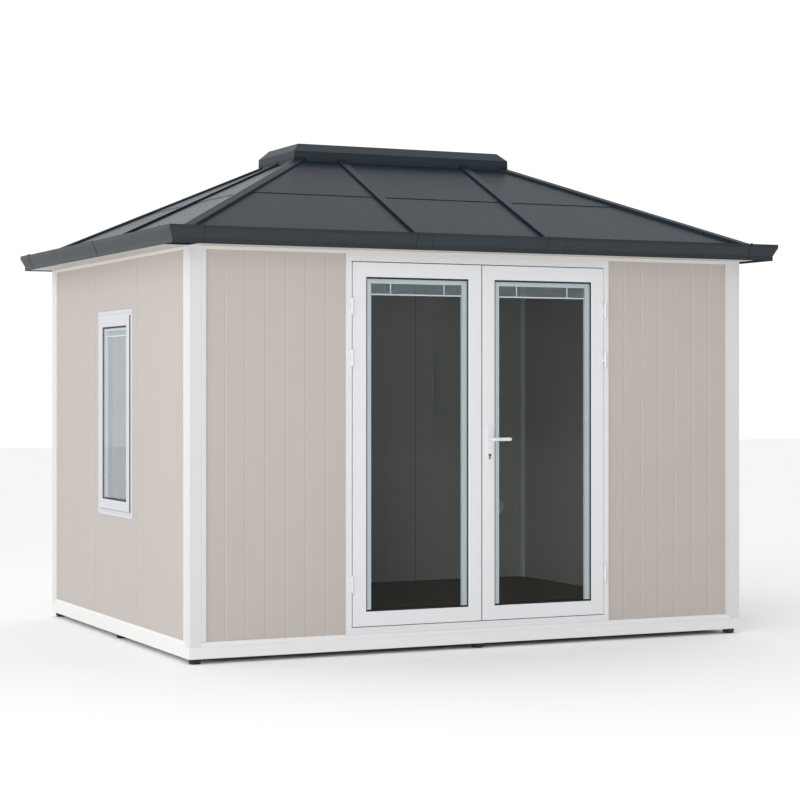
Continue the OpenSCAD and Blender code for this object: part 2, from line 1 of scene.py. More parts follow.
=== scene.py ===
import bpy
import bmesh
import math
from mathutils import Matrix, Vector


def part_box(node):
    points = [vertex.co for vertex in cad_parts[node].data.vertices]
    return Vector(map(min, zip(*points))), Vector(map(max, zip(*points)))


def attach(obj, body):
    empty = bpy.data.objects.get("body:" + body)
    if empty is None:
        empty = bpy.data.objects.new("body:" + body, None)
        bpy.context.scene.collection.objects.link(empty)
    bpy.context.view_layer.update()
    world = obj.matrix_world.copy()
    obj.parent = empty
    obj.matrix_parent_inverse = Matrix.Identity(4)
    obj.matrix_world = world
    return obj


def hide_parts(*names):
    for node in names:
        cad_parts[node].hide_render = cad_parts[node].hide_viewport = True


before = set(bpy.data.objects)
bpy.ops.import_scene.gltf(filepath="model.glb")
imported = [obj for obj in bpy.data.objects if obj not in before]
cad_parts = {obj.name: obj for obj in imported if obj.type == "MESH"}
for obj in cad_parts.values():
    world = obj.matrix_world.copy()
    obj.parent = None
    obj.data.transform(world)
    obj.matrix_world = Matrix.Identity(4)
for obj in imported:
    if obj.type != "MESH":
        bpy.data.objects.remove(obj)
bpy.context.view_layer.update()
print("frame loaded:", len(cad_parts), "nodes")

house, leftLeaf, rightLeaf, handle = "house", "left_leaf", "right_leaf", "handle"


# ---- nodes, written as sums

class Sock:                                   # a node's output that takes part in sums
    def __init__(self, book, link):
        self.book = book
        self.link = link

    def sum(self, operation, *terms):
        return self.book.node("ShaderNodeMath", {"operation": operation}, list(terms))

    def __add__(self, other):
        return self.sum("ADD", self, other)

    def __mul__(self, other):
        return self.sum("MULTIPLY", self, other)

    def __sub__(self, other):
        return self.sum("SUBTRACT", self, other)

    def __rsub__(self, other):
        return self.sum("SUBTRACT", other, self)

    def __pow__(self, other):
        return self.sum("POWER", self, other)

    __radd__ = __add__
    __rmul__ = __mul__


class Book:                                   # a node tree, and the one way to add to it
    def __init__(self, tree):
        self.tree = tree
        tree.nodes.clear()

    def node(self, kind, settings=None, inputs=None, out=0):
        made = self.tree.nodes.new(kind)
        for key, value in (settings or {}).items():
            if key == "stops":
                self.setStops(made.color_ramp, value)
            else:
                setattr(made, key, value)
        pairs = inputs.items() if isinstance(inputs, dict) else enumerate(inputs or [])
        for key, value in pairs:
            if isinstance(value, Sock):
                self.tree.links.new(value.link, made.inputs[key])
            else:
                made.inputs[key].default_value = value
        return Sock(self, made.outputs[out]) if len(made.outputs) else made

    def setStops(self, ramp, stops):
        while len(ramp.elements) < len(stops):
            ramp.elements.new(0.5)
        for element, (place, shade) in zip(ramp.elements, stops):
            element.position = place
            element.color = (shade, shade, shade, 1)


def srgb(red, green, blue):                   # linear colour from 0-255 screen values
    def line(value):
        value /= 255
        return value / 12.92 if value <= 0.04045 else ((value + 0.055) / 1.055) ** 2.4
    return (line(red), line(green), line(blue), 1)


# ---- finishes

class Finish(Book):
    def __init__(self, name):
        self.material = bpy.data.materials.new(name)
        self.material.use_nodes = True
        super().__init__(self.material.node_tree)
        self.spot = self.node("ShaderNodeTexCoord", out="Object")

    def noise(self, scale, detail=2.0, stretch=None):
        place = self.spot
        if stretch:
            place = self.node("ShaderNodeMapping", None,
                              {"Vector": place, "Scale": stretch})
        return self.node("ShaderNodeTexNoise", None,
                         {"Vector": place, "Scale": scale, "Detail": detail}, "Fac")

    def blend(self, factor, first, second):
        return self.node("ShaderNodeMix", {"data_type": "RGBA"},
                         {0: factor, 6: first, 7: second}, 2)

    def bump(self, height, strength, distance):
        return self.node("ShaderNodeBump", None,
                         {"Height": height, "Strength": strength, "Distance": distance})

    def close(self, shader):
        self.node("ShaderNodeOutputMaterial", None, {"Surface": shader})
        return self.material

    def solid(self, **inputs):
        names = {key.replace("_", " "): value for key, value in inputs.items()}
        return self.close(self.node("ShaderNodeBsdfPrincipled", None, names))


def scaled(colour, share):
    return (colour[0] * share, colour[1] * share, colour[2] * share, 1)


def coated(name, colour, rough, grain, height, cloud=0.03, specular=0.5):
    finish = Finish(name)                     # powder coat: fine orange peel, faint clouds
    drift = finish.noise(1.7, 3) * 0.6 + finish.noise(9.0, 2) * 0.4
    peel = finish.noise(grain, 2)
    tone = finish.blend(drift, scaled(colour, 1 - cloud), scaled(colour, 1 + cloud))
    return finish.solid(
        Base_Color=tone,
        Roughness=rough - 0.06 + finish.noise(40, 2) * 0.12,
        Specular_IOR_Level=specular,
        Normal=finish.bump(peel, 0.35, height))


def embossed(name, colour, rough):
    finish = Finish(name)                     # panel skin: stucco emboss, faint streaks
    pebble = finish.node("ShaderNodeTexVoronoi", {"feature": "SMOOTH_F1"},
                         {"Vector": finish.spot, "Scale": 420.0, "Smoothness": 0.6},
                         "Distance")
    streak = finish.noise(6.0, 3, (1, 1, 0.08))
    drift = finish.noise(1.3, 2)
    tone = finish.blend(streak * 0.5 + drift * 0.5, scaled(colour, 0.975),
                        scaled(colour, 1.025))
    return finish.solid(
        Base_Color=tone,
        Roughness=rough + finish.noise(25, 2) * 0.08,
        Specular_IOR_Level=0.35,
        Normal=finish.bump(pebble + finish.noise(160, 2) * 0.5, 0.3, 0.0003))


def planked(name, dark, light):
    finish = Finish(name)                     # grain runs along X
    grain = finish.noise(30.0, 6, (0.05, 1, 1))
    pore = finish.noise(260.0, 3, (0.03, 1, 1))
    board = finish.noise(2.2, 1, (0.12, 3.2, 1))
    mask = grain * 0.65 + board * 0.35
    tone = finish.blend(mask, dark, light)
    return finish.solid(
        Base_Color=tone,
        Roughness=0.5 + pore * 0.2,
        Normal=finish.bump(grain * 0.6 + pore * 0.4, 0.4, 0.0006))


def metal(name, colour, rough, scale):
    finish = Finish(name)                     # bare metal with a drawn grain
    draw = finish.noise(scale, 3, (1, 1, 0.1))
    tone = finish.blend(draw, scaled(colour, 0.85), scaled(colour, 1.1))
    return finish.solid(Base_Color=tone, Metallic=1.0,
                        Roughness=rough - 0.08 + draw * 0.16,
                        Normal=finish.bump(draw, 0.2, 0.0002))


def moulded(name, colour, rough, grain=600.0):
    finish = Finish(name)                     # moulded plastic or rubber, finely grained
    speck = finish.noise(grain, 2)
    tone = finish.blend(finish.noise(14.0, 2), scaled(colour, 0.9), scaled(colour, 1.1))
    return finish.solid(Base_Color=tone, Roughness=rough - 0.05 + speck * 0.1,
                        Normal=finish.bump(speck, 0.3, 0.0002))


def clearGlass(name, tint, strength):
    finish = Finish(name)                     # sheet glass that lets the light through
    sheen = finish.node("ShaderNodeLayerWeight", None, {"Blend": 0.5}, "Facing")
    dust = finish.noise(3.0, 4)
    through = finish.node("ShaderNodeBsdfTransparent", None, {"Color": tint})
    mirror = finish.node("ShaderNodeBsdfGlossy", None,
                         {"Color": (0.95, 0.98, 1.0, 1), "Roughness": 0.02})
    share = (sheen ** 4 * strength + 0.003) * (0.94 + dust * 0.12)
    return finish.close(finish.node("ShaderNodeMixShader", None,
                                    [share, through, mirror]))


panelCoat = embossed("Panel coat", srgb(191, 183, 177), 0.62)
railCoat = coated("Rail coat", srgb(233, 233, 233), 0.38, 900, 0.0002, 0.012)
postCoat = coated("Post coat", srgb(219, 219, 220), 0.38, 900, 0.0002, 0.012)
frameCoat = coated("Frame coat", srgb(229, 230, 233), 0.36, 900, 0.0002, 0.012)
windowCoat = coated("Window coat", srgb(205, 206, 213), 0.34, 900, 0.0002, 0.01)
sheetCoat = coated("Sheet coat", srgb(30, 41, 51), 0.33, 700, 0.0003, 0.05, 0.08)
trimCoat = coated("Trim coat", srgb(48, 57, 64), 0.46, 700, 0.0003, 0.05, 0.14)
gutterCoat = coated("Gutter coat", srgb(46, 53, 58), 0.45, 700, 0.0003, 0.05, 0.26)
# the post white, tinted warm and a touch lighter: painted warm bounce light under the gutter
headBounceCoat = coated("Head rail coat", srgb(225, 221, 216), 0.45, 900, 0.0002, 0.015)
# near-black finish standing in for the shade under the eaves: painted shade
paintedShadeCoat = coated("Underside coat", srgb(24, 25, 28), 0.9, 500, 0.0003, 0.08, 0.02)
soffitCoat = coated("Soffit coat", srgb(196, 192, 187), 0.6, 900, 0.0002, 0.015)
steelZinc = metal("Zinc steel", srgb(150, 153, 156), 0.45, 30)
brassMetal = metal("Brass", srgb(196, 150, 80), 0.3, 200)
plugBrass = metal("Plug brass", srgb(92, 70, 50), 0.45, 200)
# black rubber for the real gaskets and seals, also used as painted shade in gaps, slots and
# the keyway
rubberAndShadeBlack = moulded("Gasket rubber", srgb(18, 18, 20), 0.6)
sealRubber = moulded("Seal rubber", srgb(92, 90, 88), 0.65)
footPlastic = moulded("Foot plastic", srgb(26, 26, 28), 0.45)
portPlastic = moulded("Port plastic", srgb(222, 221, 216), 0.5)
blindCoat = coated("Blind coat", srgb(214, 221, 225), 0.45, 900, 0.0001, 0.03)
slatCoat = coated("Slat coat", srgb(234, 242, 246), 0.5, 900, 0.0001, 0.05)
tapeCloth = moulded("Ladder tape", srgb(225, 230, 232), 0.8, 1500.0)
rackCoat = coated("Rack coat", srgb(180, 179, 177), 0.5, 600, 0.0002, 0.04)
deckBoards = planked("Deck boards", srgb(58, 48, 37), srgb(112, 93, 70))
paneGlass = clearGlass("Pane glass", (0.93, 0.948, 0.95, 1), 0.86)
print("finishes ready")


# ---- mesh code

class Shape:                                  # gathers one piece's closed shells
    def __init__(self, place=None):
        self.points = []
        self.faces = []
        self.place = place or (lambda x, y, z: (x, y, z))

    def loft(self, rings):
        start = len(self.points)
        count = len(rings[0])
        for ring in rings:
            self.points += [self.place(*point) for point in ring]
        for step in range(len(rings) - 1):
            low = start + step * count
            for i in range(count):
                j = (i + 1) % count
                self.faces.append((low + i, low + j, low + count + j, low + count + i))
        last = start + (len(rings) - 1) * count
        self.faces.append(tuple(range(start, start + count)))
        self.faces.append(tuple(range(last, last + count)))

    def run(self, section, x0, x1):           # a (d, z) section drawn along the wall
        self.loft([[(x, d, z) for d, z in section] for x in (x0, x1)])

    def prism(self, section, z0, z1):         # an (x, y) section drawn upwards
        self.loft([[(x, y, z) for x, y in section] for z in (z0, z1)])

    def box(self, low, high, edge=0.0008):    # box with small chamfers
        def ring(inset, corner, z):
            x0, y0, x1, y1 = low[0] + inset, low[1] + inset, high[0] - inset, high[1] - inset
            return [(x0 + corner, y0, z), (x1 - corner, y0, z), (x1, y0 + corner, z),
                    (x1, y1 - corner, z), (x1 - corner, y1, z), (x0 + corner, y1, z),
                    (x0, y1 - corner, z), (x0, y0 + corner, z)]
        self.loft([ring(edge, edge / 2, low[2]), ring(0, edge, low[2] + edge),
                   ring(0, edge, high[2] - edge), ring(edge, edge / 2, high[2])])

    def tube(self, centre, axis, stations, sides=20):
        along = Vector(axis).normalized()     # stations: (distance along, radius)
        across = along.orthogonal().normalized()
        other = along.cross(across)
        turns = [2 * math.pi * i / sides for i in range(sides)]
        self.loft([[tuple(Vector(centre) + along * far
                          + (across * math.cos(turn) + other * math.sin(turn)) * radius)
                    for turn in turns] for far, radius in stations])

    def frame(self, section, x0, x1, z0, z1, sides="LRTB", tall=1.0, gap=0.0002):
        # section: points (inwards from the edge, depth), mitred at the corners
        base = min(u for u, d in section)

        def rise(u):
            return base + (u - base) * tall + gap
        foot = "B" in sides
        for side, edge, way in (("L", x0, 1), ("R", x1, -1)):
            if side in sides:
                self.loft([[(edge + way * u, d, z0 + (rise(u) if foot else 0))
                            for u, d in section],
                           [(edge + way * u, d, z1 - rise(u)) for u, d in section]])
        for side, edge, way in (("T", z1, -1), ("B", z0, 1)):
            if side in sides:
                level = [edge + way * (rise(u) - gap) for u, d in section]
                self.loft([[(x0 + u + gap, d, z) for (u, d), z in zip(section, level)],
                           [(x1 - u - gap, d, z) for (u, d), z in zip(section, level)]])

    def mesh(self, name):
        made = bpy.data.meshes.new(name)
        work = bmesh.new()
        corners = [work.verts.new(point) for point in self.points]
        for face in self.faces:
            work.faces.new([corners[i] for i in face])
        bmesh.ops.remove_doubles(work, verts=work.verts, dist=0.000005)
        bmesh.ops.recalc_face_normals(work, faces=work.faces)
        work.to_mesh(made)
        work.free()
        return made


def asObject(shape, name):
    thing = bpy.data.objects.new(name, shape.mesh(name))
    bpy.context.scene.collection.objects.link(thing)
    return thing


def finishPiece(thing, name, finish, body, replaced=(), smooth=False):
    if isinstance(thing, Shape):
        thing = asObject(thing, name)
    thing.data.materials.clear()
    thing.data.materials.append(finish)
    if smooth:
        thing.data.polygons.foreach_set("use_smooth", [True] * len(thing.data.polygons))
        thing.data.set_sharp_from_angle(angle=math.radians(35))
    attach(thing, body)
    if replaced:
        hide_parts(*replaced)
    return thing


# ---- one Geometry Nodes tree for everything that repeats in rows

def rowTree():
    tree = bpy.data.node_groups.new("Rows of parts", "GeometryNodeTree")
    kinds = {"Part": "Geometry", "Count": "Int", "Step": "Vector", "Rows": "Int",
             "Row step": "Vector", "Jitter": "Vector", "Seed": "Int",
             "Finish": "Material"}
    for label, kind in kinds.items():
        tree.interface.new_socket(name=label, in_out="INPUT",
                                  socket_type="NodeSocket" + kind)
    tree.interface.new_socket(name="Rows", in_out="OUTPUT",
                              socket_type="NodeSocketGeometry")
    book = Book(tree)
    entry = tree.nodes.new("NodeGroupInput")
    given = {label: Sock(book, entry.outputs[label]) for label in kinds}
    row = book.node("GeometryNodeMeshLine", {"mode": "OFFSET"},
                    {"Count": given["Count"], "Offset": given["Step"]})
    rows = book.node("GeometryNodeMeshLine", {"mode": "OFFSET"},
                     {"Count": given["Rows"], "Offset": given["Row step"]})
    grid = book.node("GeometryNodeRealizeInstances", None, [book.node(
        "GeometryNodeInstanceOnPoints", None, {"Points": rows, "Instance": row})])
    parts = book.node("GeometryNodeInstanceOnPoints", None,
                      {"Points": grid, "Instance": given["Part"]})
    lowest = book.node("ShaderNodeVectorMath", {"operation": "SCALE"},
                       {0: given["Jitter"], "Scale": -1.0})
    stray = book.node("FunctionNodeRandomValue", {"data_type": "FLOAT_VECTOR"},
                      {0: lowest, 1: given["Jitter"], "Seed": given["Seed"]})
    moved = book.node("GeometryNodeTranslateInstances", None,
                      {"Instances": parts, "Translation": stray})
    solid = book.node("GeometryNodeRealizeInstances", None, [moved])
    book.node("NodeGroupOutput", None, [book.node(
        "GeometryNodeSetMaterial", None,
        {"Geometry": solid, "Material": given["Finish"]})])
    return tree


rows = rowTree()
rowSockets = {item.name: item.identifier for item in rows.interface.items_tree
              if item.in_out == "INPUT"}


def repeated(shape, name, finish, count, step, rowCount=1, rowStep=(0.0, 0.0, 0.0),
             jitter=(0.0, 0.0, 0.0), seed=1):
    thing = asObject(shape, name)             # one part, standing at its first place
    maker = thing.modifiers.new("Rows", "NODES")
    maker.node_group = rows
    for label, value in {"Count": count, "Step": step, "Rows": rowCount,
                         "Row step": rowStep, "Jitter": jitter, "Seed": seed,
                         "Finish": finish}.items():
        maker[rowSockets[label]] = value
    made = bpy.data.meshes.new_from_object(
        thing.evaluated_get(bpy.context.evaluated_depsgraph_get()))
    thing.modifiers.remove(maker)
    thing.data = made
    return thing


def dress(node, finish):                      # a CAD node that keeps its shape
    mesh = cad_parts[node].data
    mesh.materials.clear()
    mesh.materials.append(finish)


postLow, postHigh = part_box("corner_posts")
halfWidth, halfDepth = postHigh.x, postHigh.y
railLow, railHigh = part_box("base_rails")
railTop = railHigh.z
railWidth = 0.1
wallLow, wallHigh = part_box("front_wall_left")
wallTop = wallHigh.z
recess = wallLow.y + halfDepth                # the skins' depth behind the post faces
panelThick = wallHigh.y - wallLow.y

# Each wall is drawn as if it were the front one: x to the right as seen from outside,
# d from its outer face inwards
wallPlaces = {
    "front": lambda x, d, z: (x, -halfDepth + d, z),
    "right": lambda x, d, z: (halfWidth - d, x, z),
    "back": lambda x, d, z: (-x, halfDepth - d, z),
    "left": lambda x, d, z: (-halfWidth + d, -x, z)}
wallHalf = {"front": halfWidth, "back": halfWidth, "left": halfDepth, "right": halfDepth}


# ---- wall panels with pressed beads

panels = {"beadPitch": 0.121, "firstBead": 0.113, "beads": 6, "beadWidth": 0.030,
          "beadDepth": 0.0021, "leadIn": 0.008, "stepWidth": 0.006, "stepDepth": 0.0,
          "sideShare": 0.3, "plainWidth": 0.838, "joint": 0.004, "sealHalf": 0.0019,
          "sealDepth": 0.0006}


def panelSkin(shape, x0, x1, z0, z1, d0, d1, share, hole=None):
    first = x0 + panels["firstBead"] + (x1 - x0 - panels["plainWidth"]) / 2
    outline = [(x0, 0.0), (x1, 0.0)]          # (x, dip of the bead)
    for i in range(panels["beads"]):
        at = first + i * panels["beadPitch"]
        outline += [(at - panels["leadIn"], 0.0), (at, panels["beadDepth"] * share),
                    (at + panels["stepWidth"], panels["stepDepth"] * share),
                    (at + panels["beadWidth"], 0.0)]
    outline.sort()
    cuts = sorted({point[0] for point in outline} | ({hole[0], hole[1]} if hole else set()))
    bands = [z0, hole[2], hole[3], z1] if hole else [z0, z1]

    def dipAt(x):
        for (xa, da), (xb, db) in zip(outline, outline[1:]):
            if xa <= x <= xb:
                return da + (db - da) * (x - xa) / max(xb - xa, 1e-9)

    def quad(*points):
        start = len(shape.points)
        shape.points += [shape.place(*point) for point in points]
        shape.faces.append((start, start + 1, start + 2, start + 3))

    def isHole(i, j):
        return hole and j == 1 and hole[0] <= cuts[i] and cuts[i + 1] <= hole[1]

    for i, (xa, xb) in enumerate(zip(cuts, cuts[1:])):
        oa, ob = d0 + dipAt(xa), d0 + dipAt(xb)
        ia, ib = d1 - dipAt(xa), d1 - dipAt(xb)
        for j, (za, zb) in enumerate(zip(bands, bands[1:])):
            if isHole(i, j):
                continue
            quad((xa, oa, za), (xb, ob, za), (xb, ob, zb), (xa, oa, zb))
            quad((xa, ia, za), (xb, ib, za), (xb, ib, zb), (xa, ia, zb))
            if i == 0 or isHole(i - 1, j):
                quad((xa, oa, za), (xa, ia, za), (xa, ia, zb), (xa, oa, zb))
            if i == len(cuts) - 2 or isHole(i + 1, j):
                quad((xb, ob, za), (xb, ib, za), (xb, ib, zb), (xb, ob, zb))
            if j == 0 or isHole(i, j - 1):
                quad((xa, oa, za), (xb, ob, za), (xb, ib, za), (xa, ia, za))
            if j == len(bands) - 2 or isHole(i, j + 1):
                quad((xa, oa, zb), (xb, ob, zb), (xb, ib, zb), (xa, ia, zb))


def wallPanels(side, count, node, name, hole=None):
    low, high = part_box(node)
    along = [low.x, high.x] if side in ("front", "back") else [low.y, high.y]
    if side in ("back", "left"):
        along = [-x for x in along]
    start, end = min(along), max(along)
    step = (end - start + panels["joint"]) / count
    shape = Shape(wallPlaces[side])
    for i in range(count):
        panelSkin(shape, start + i * step, start + (i + 1) * step - panels["joint"],
                  railTop, wallTop, recess, recess + panelThick,
                  panels["sideShare"] if side in ("left", "right") else 1.0, hole)
    finishPiece(shape, name, panelCoat, house, [node])
    for i in range(count + 1):
        x = start - panels["joint"] / 2 + i * step
        seals.place = wallPlaces[side]
        seals.box((x - panels["sealHalf"], recess + panels["sealDepth"], railTop),
                  (x + panels["sealHalf"], recess + panelThick - panels["sealDepth"],
                   wallTop), 0.0003)


seals = Shape()
windowLow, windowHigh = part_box("window_frame")
holeInset = 0.018
windowHole = (-windowHigh.y + holeInset, -windowLow.y - holeInset,
              windowLow.z + holeInset, windowHigh.z - holeInset)
for side, count, node, name in (("front", 1, "front_wall_left", "front_left_panel"),
                                ("front", 1, "front_wall_right", "front_right_panel"),
                                ("left", 1, "left_wall_front", "left_front_panel"),
                                ("left", 1, "left_wall_middle", "left_middle_panel"),
                                ("left", 1, "left_wall_back", "left_back_panel"),
                                ("right", 3, "right_wall", "right_panels"),
                                ("back", 4, "back_wall", "back_panels")):
    wallPanels(side, count, node, name, windowHole if "middle" in node else None)
finishPiece(seals, "panel_seals", sealRubber, house)
print("walls panelled")


# ---- posts, base rails and feet

posts = {"main": 0.070, "groove": 0.0016, "skin": 0.0006, "corner": 0.003, "step": 0.001,
         "lift": 0.0006}
main, corner = posts["main"], posts["corner"]
mainEnd = main - posts["step"]
edgeRun = [(corner, 0.0), (mainEnd, 0.0), (main, posts["groove"]),
           (main + posts["step"], posts["skin"]), (railWidth, posts["skin"])]
fullSection = edgeRun + [(railWidth, railWidth)] + [(b, a) for a, b in reversed(edgeRun)]
footSection = [(corner, 0.0), (mainEnd, 0.0), (mainEnd, mainEnd), (0.0, mainEnd),
               (0.0, corner)]
postShape = Shape()
for sx in (-1, 1):
    for sy in (-1, 1):
        postShape.place = lambda a, b, z: (sx * (halfWidth - a), sy * (halfDepth - b), z)
        postShape.prism(fullSection, railTop, postHigh.z)
        postShape.prism(footSection, postLow.z + posts["lift"], railTop)
finishPiece(postShape, "posts", postCoat, house, ["corner_posts"])

rails = {"slopeHeight": 0.014, "slopeDepth": 0.005, "edge": 0.002, "gap": 0.0005}
lap = postLow.z


def railSection(low, deep):
    return [(0.0, railTop - rails["slopeHeight"]), (rails["slopeDepth"], railTop),
            (deep, railTop), (deep, low), (rails["edge"], low), (0.0, low + rails["edge"])]


railShape = Shape()
for side, half in wallHalf.items():
    railShape.place = wallPlaces[side]
    if side in ("front", "back"):             # the long rails run through
        railShape.run(railSection(lap, railWidth), -half + main, half - main)
        railShape.run([(0.0, lap), (railWidth, lap), (railWidth, railLow.z),
                       (rails["edge"], railLow.z), (0.0, railLow.z + rails["edge"])],
                      -half, half)
    else:
        whole = half - railWidth - rails["gap"]
        railShape.run(railSection(railLow.z, railWidth), -whole, whole)
        for way in (-1, 1):                   # the top band runs on to the posts
            railShape.run(railSection(lap, main), way * whole, way * (half - main))
finishPiece(railShape, "rails", railCoat, house, ["base_rails"])

feet = {"foot": 0.032, "top": 0.037, "bevel": 0.002, "neck": 0.026, "topLow": 0.020,
        "topHigh": 0.024, "neckLow": 0.0265, "turn": 20}
bevel = feet["bevel"]
levels = ((0, feet["foot"] - bevel), (bevel, feet["foot"]), (feet["topLow"], feet["top"]),
          (feet["topHigh"], feet["top"]), (feet["topHigh"] + bevel, feet["top"] - bevel),
          (feet["neckLow"], feet["neck"]), (railLow.z, feet["neck"]))
feetShape = Shape()
for fx in (-1, 0, 1):
    for fy in (-1, 0, 1):
        if fx or fy:
            cx, cy = fx * (halfWidth - railWidth / 2), fy * (halfDepth - railWidth / 2)
            start = math.radians(feet["turn"] * (2 * fx + fy))
            corners = [start + math.pi * i / 3 for i in range(6)]
            feetShape.loft([[(cx + radius * math.cos(t), cy + radius * math.sin(t), z)
                             for t in corners] for z, radius in levels])
finishPiece(feetShape, "levelling_feet", footPlastic, house, ["feet"])
print("base and posts ready")


# ---- floor boards

deckLow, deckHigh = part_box("floor_deck")
deck = {"boards": 20, "gap": 0.0016, "edge": 0.0015, "cornerCut": 0.029}
boardPitch = (deckHigh.y - deckLow.y + deck["gap"]) / deck["boards"]
oneBoard = Shape()
oneBoard.box((deckLow.x, deckLow.y + boardPitch, deckLow.z + 0.0005),
             (deckHigh.x, deckLow.y + 2 * boardPitch - deck["gap"], deckHigh.z - 0.0003),
             deck["edge"])
finishPiece(repeated(oneBoard, "floor_boards", deckBoards, deck["boards"] - 2,
                     (0.0, boardPitch, 0.0), jitter=(0.0, 0.0, 0.0002), seed=7),
            "floor_boards", deckBoards, house, ["floor_deck"])
edgeBoards = Shape()
for y in (deckLow.y, deckHigh.y - boardPitch + deck["gap"]):
    edgeBoards.box((deckLow.x + deck["cornerCut"], y, deckLow.z + 0.0005),
                   (deckHigh.x - deck["cornerCut"], y + boardPitch - deck["gap"],
                    deckHigh.z - 0.0003), deck["edge"])
finishPiece(edgeBoards, "edge_boards", deckBoards, house, ["floor_deck"])


# ---- door frame

doorLow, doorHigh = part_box("door_frame")
frontDoor = {"face": 0.034, "sill": 0.037, "depth": 0.072, "stopAt": 0.049, "stopLap": 0.016,
             "headSeal": 0.010, "lines": (0.4, 0.66), "lineHalf": 0.0013, "lineDepth": 0.0014,
             "joint": 0.0003, "gap": 0.0004}
doorHalf = doorHigh.x
frameTop = doorHigh.z - frontDoor["headSeal"]


def doorSection(face):                        # (inwards, depth), with two scribed lines
    points = [(0.0, 0.0006), (0.0006, 0.0)]
    for line in frontDoor["lines"]:
        at = face * line
        points += [(at - frontDoor["lineHalf"], 0.0), (at, frontDoor["lineDepth"]),
                   (at + frontDoor["lineHalf"], 0.0)]
    lapEnd = face + frontDoor["stopLap"]
    stopAt, depth = frontDoor["stopAt"], frontDoor["depth"]
    return points + [(face - 0.0008, 0.0), (face, 0.0008), (face, stopAt), (lapEnd, stopAt),
                     (lapEnd, depth), (0.0, depth)]


doorFrame = Shape(wallPlaces["front"])
depth, stopAt, stopLap = (frontDoor[key] for key in ("depth", "stopAt", "stopLap"))
for way in (-1, 1):
    doorFrame.prism([(way * (doorHalf - u), d) for u, d in doorSection(frontDoor["face"])],
                    doorLow.z + frontDoor["sill"] + frontDoor["gap"],
                    frameTop - frontDoor["face"] - frontDoor["gap"])
    for base, turn, face in ((frameTop, -1, frontDoor["face"]),
                             (doorLow.z, 1, frontDoor["sill"])):
        outer = [point for point in doorSection(face) if point[0] <= face + 0.0001]
        stop = ((0.0, stopAt), (face + stopLap, stopAt), (face + stopLap, depth), (0.0, depth))
        stopEnd = doorHalf - frontDoor["face"] - stopLap - 0.0005
        for section, start, end in ((outer, doorHalf, frontDoor["joint"]),
                                    (stop, stopEnd, 0.0)):
            doorFrame.run([(d, base + turn * u) for u, d in section], way * start, way * end)
doorFrame.box((-doorHalf, 0.020, frameTop), (doorHalf, 0.0719, doorHigh.z - 0.0002), 0.0005)
finishPiece(doorFrame, "door_frame_profile", frameCoat, house,
            ["door_frame"])
headSeal = Shape(wallPlaces["front"])
headSeal.box((-doorHalf, 0.0025, frameTop + 0.0002), (doorHalf, 0.0198, doorHigh.z - 0.0004),
             0.0004)
finishPiece(headSeal, "door_head_seal", frameCoat, house)


# ---- glazed leaves: the two doors and the window sash

pane = {"thick": 0.005, "cavity": 0.022, "bite": 0.012}
gasketSizes = {"side": 0.0068, "tall": 1.5, "foot": 0.0008, "face": 0.0012, "lip": 0.0064,
               "lipShare": 0.5, "overlap": 0.0001}
blindSizes = {"gap": 0.0004, "wall": 0.001, "step": 0.002, "edge": 0.0005, "strip": 0.006,
              "capLow": 0.010, "capHigh": 0.020, "capInset": 0.004, "sideGap": 0.003,
              "slatHalf": 0.007, "camber": 0.0012, "shoulder": 0.0009, "slatThick": 0.0004,
              "railHigh": 0.008, "railEdge": 0.0015, "tapeHalf": 0.0035,
              "tapeFront": 0.0022, "tapeBack": 0.0015}


def drilled(thing, holes, selfCut=False):
    cutter = asObject(holes, thing.name + "_cutter")
    drill = thing.modifiers.new("Holes", "BOOLEAN")
    drill.operation = "DIFFERENCE"
    drill.solver = "EXACT"
    drill.use_self = selfCut
    drill.object = cutter
    bored = bpy.data.meshes.new_from_object(
        thing.evaluated_get(bpy.context.evaluated_depsgraph_get()))
    thing.modifiers.remove(drill)
    thing.data = bored
    bpy.data.objects.remove(cutter)


def glazedLeaf(name, place, width, height, sizes, finish, body, node, holes=None):
    member, recess, depth, frontBead = (
        sizes[key] for key in ("member", "recess", "depth", "bead"))
    glassBack = recess + 2 * pane["thick"] + pane["cavity"]
    deep = member - pane["bite"] - 0.0002
    shape = Shape(place)
    shape.frame([(0.0, 0.0008), (0.0008, 0.0), (member - frontBead, 0.0),
                 (member, frontBead), (member, recess), (deep, recess),
                 (deep, glassBack), (member, glassBack), (member, depth - 0.003),
                 (member - 0.003, depth), (0.0, depth)], 0.0, width, 0.0, height)
    thing = asObject(shape, name)
    if holes:
        drilled(thing, holes)
    finishPiece(thing, name, finish, body, [node])

    gasket = Shape(place)                     # both faces of the unit
    side, lap = gasketSizes["side"], gasketSizes["overlap"]
    for face, way in ((recess, -1), (glassBack, 1)):
        lip = face + way * min(gasketSizes["lip"], recess * gasketSizes["lipShare"])
        ring = [(member - lap, lip), (member + gasketSizes["foot"], lip),
                (member + side, face + way * gasketSizes["face"]), (member + side, face),
                (member - lap, face)]
        gasket.frame(ring, 0.0, width, 0.0, height, tall=gasketSizes["tall"], gap=0.0)
    finishPiece(gasket, name + "_gasket", rubberAndShadeBlack, body)


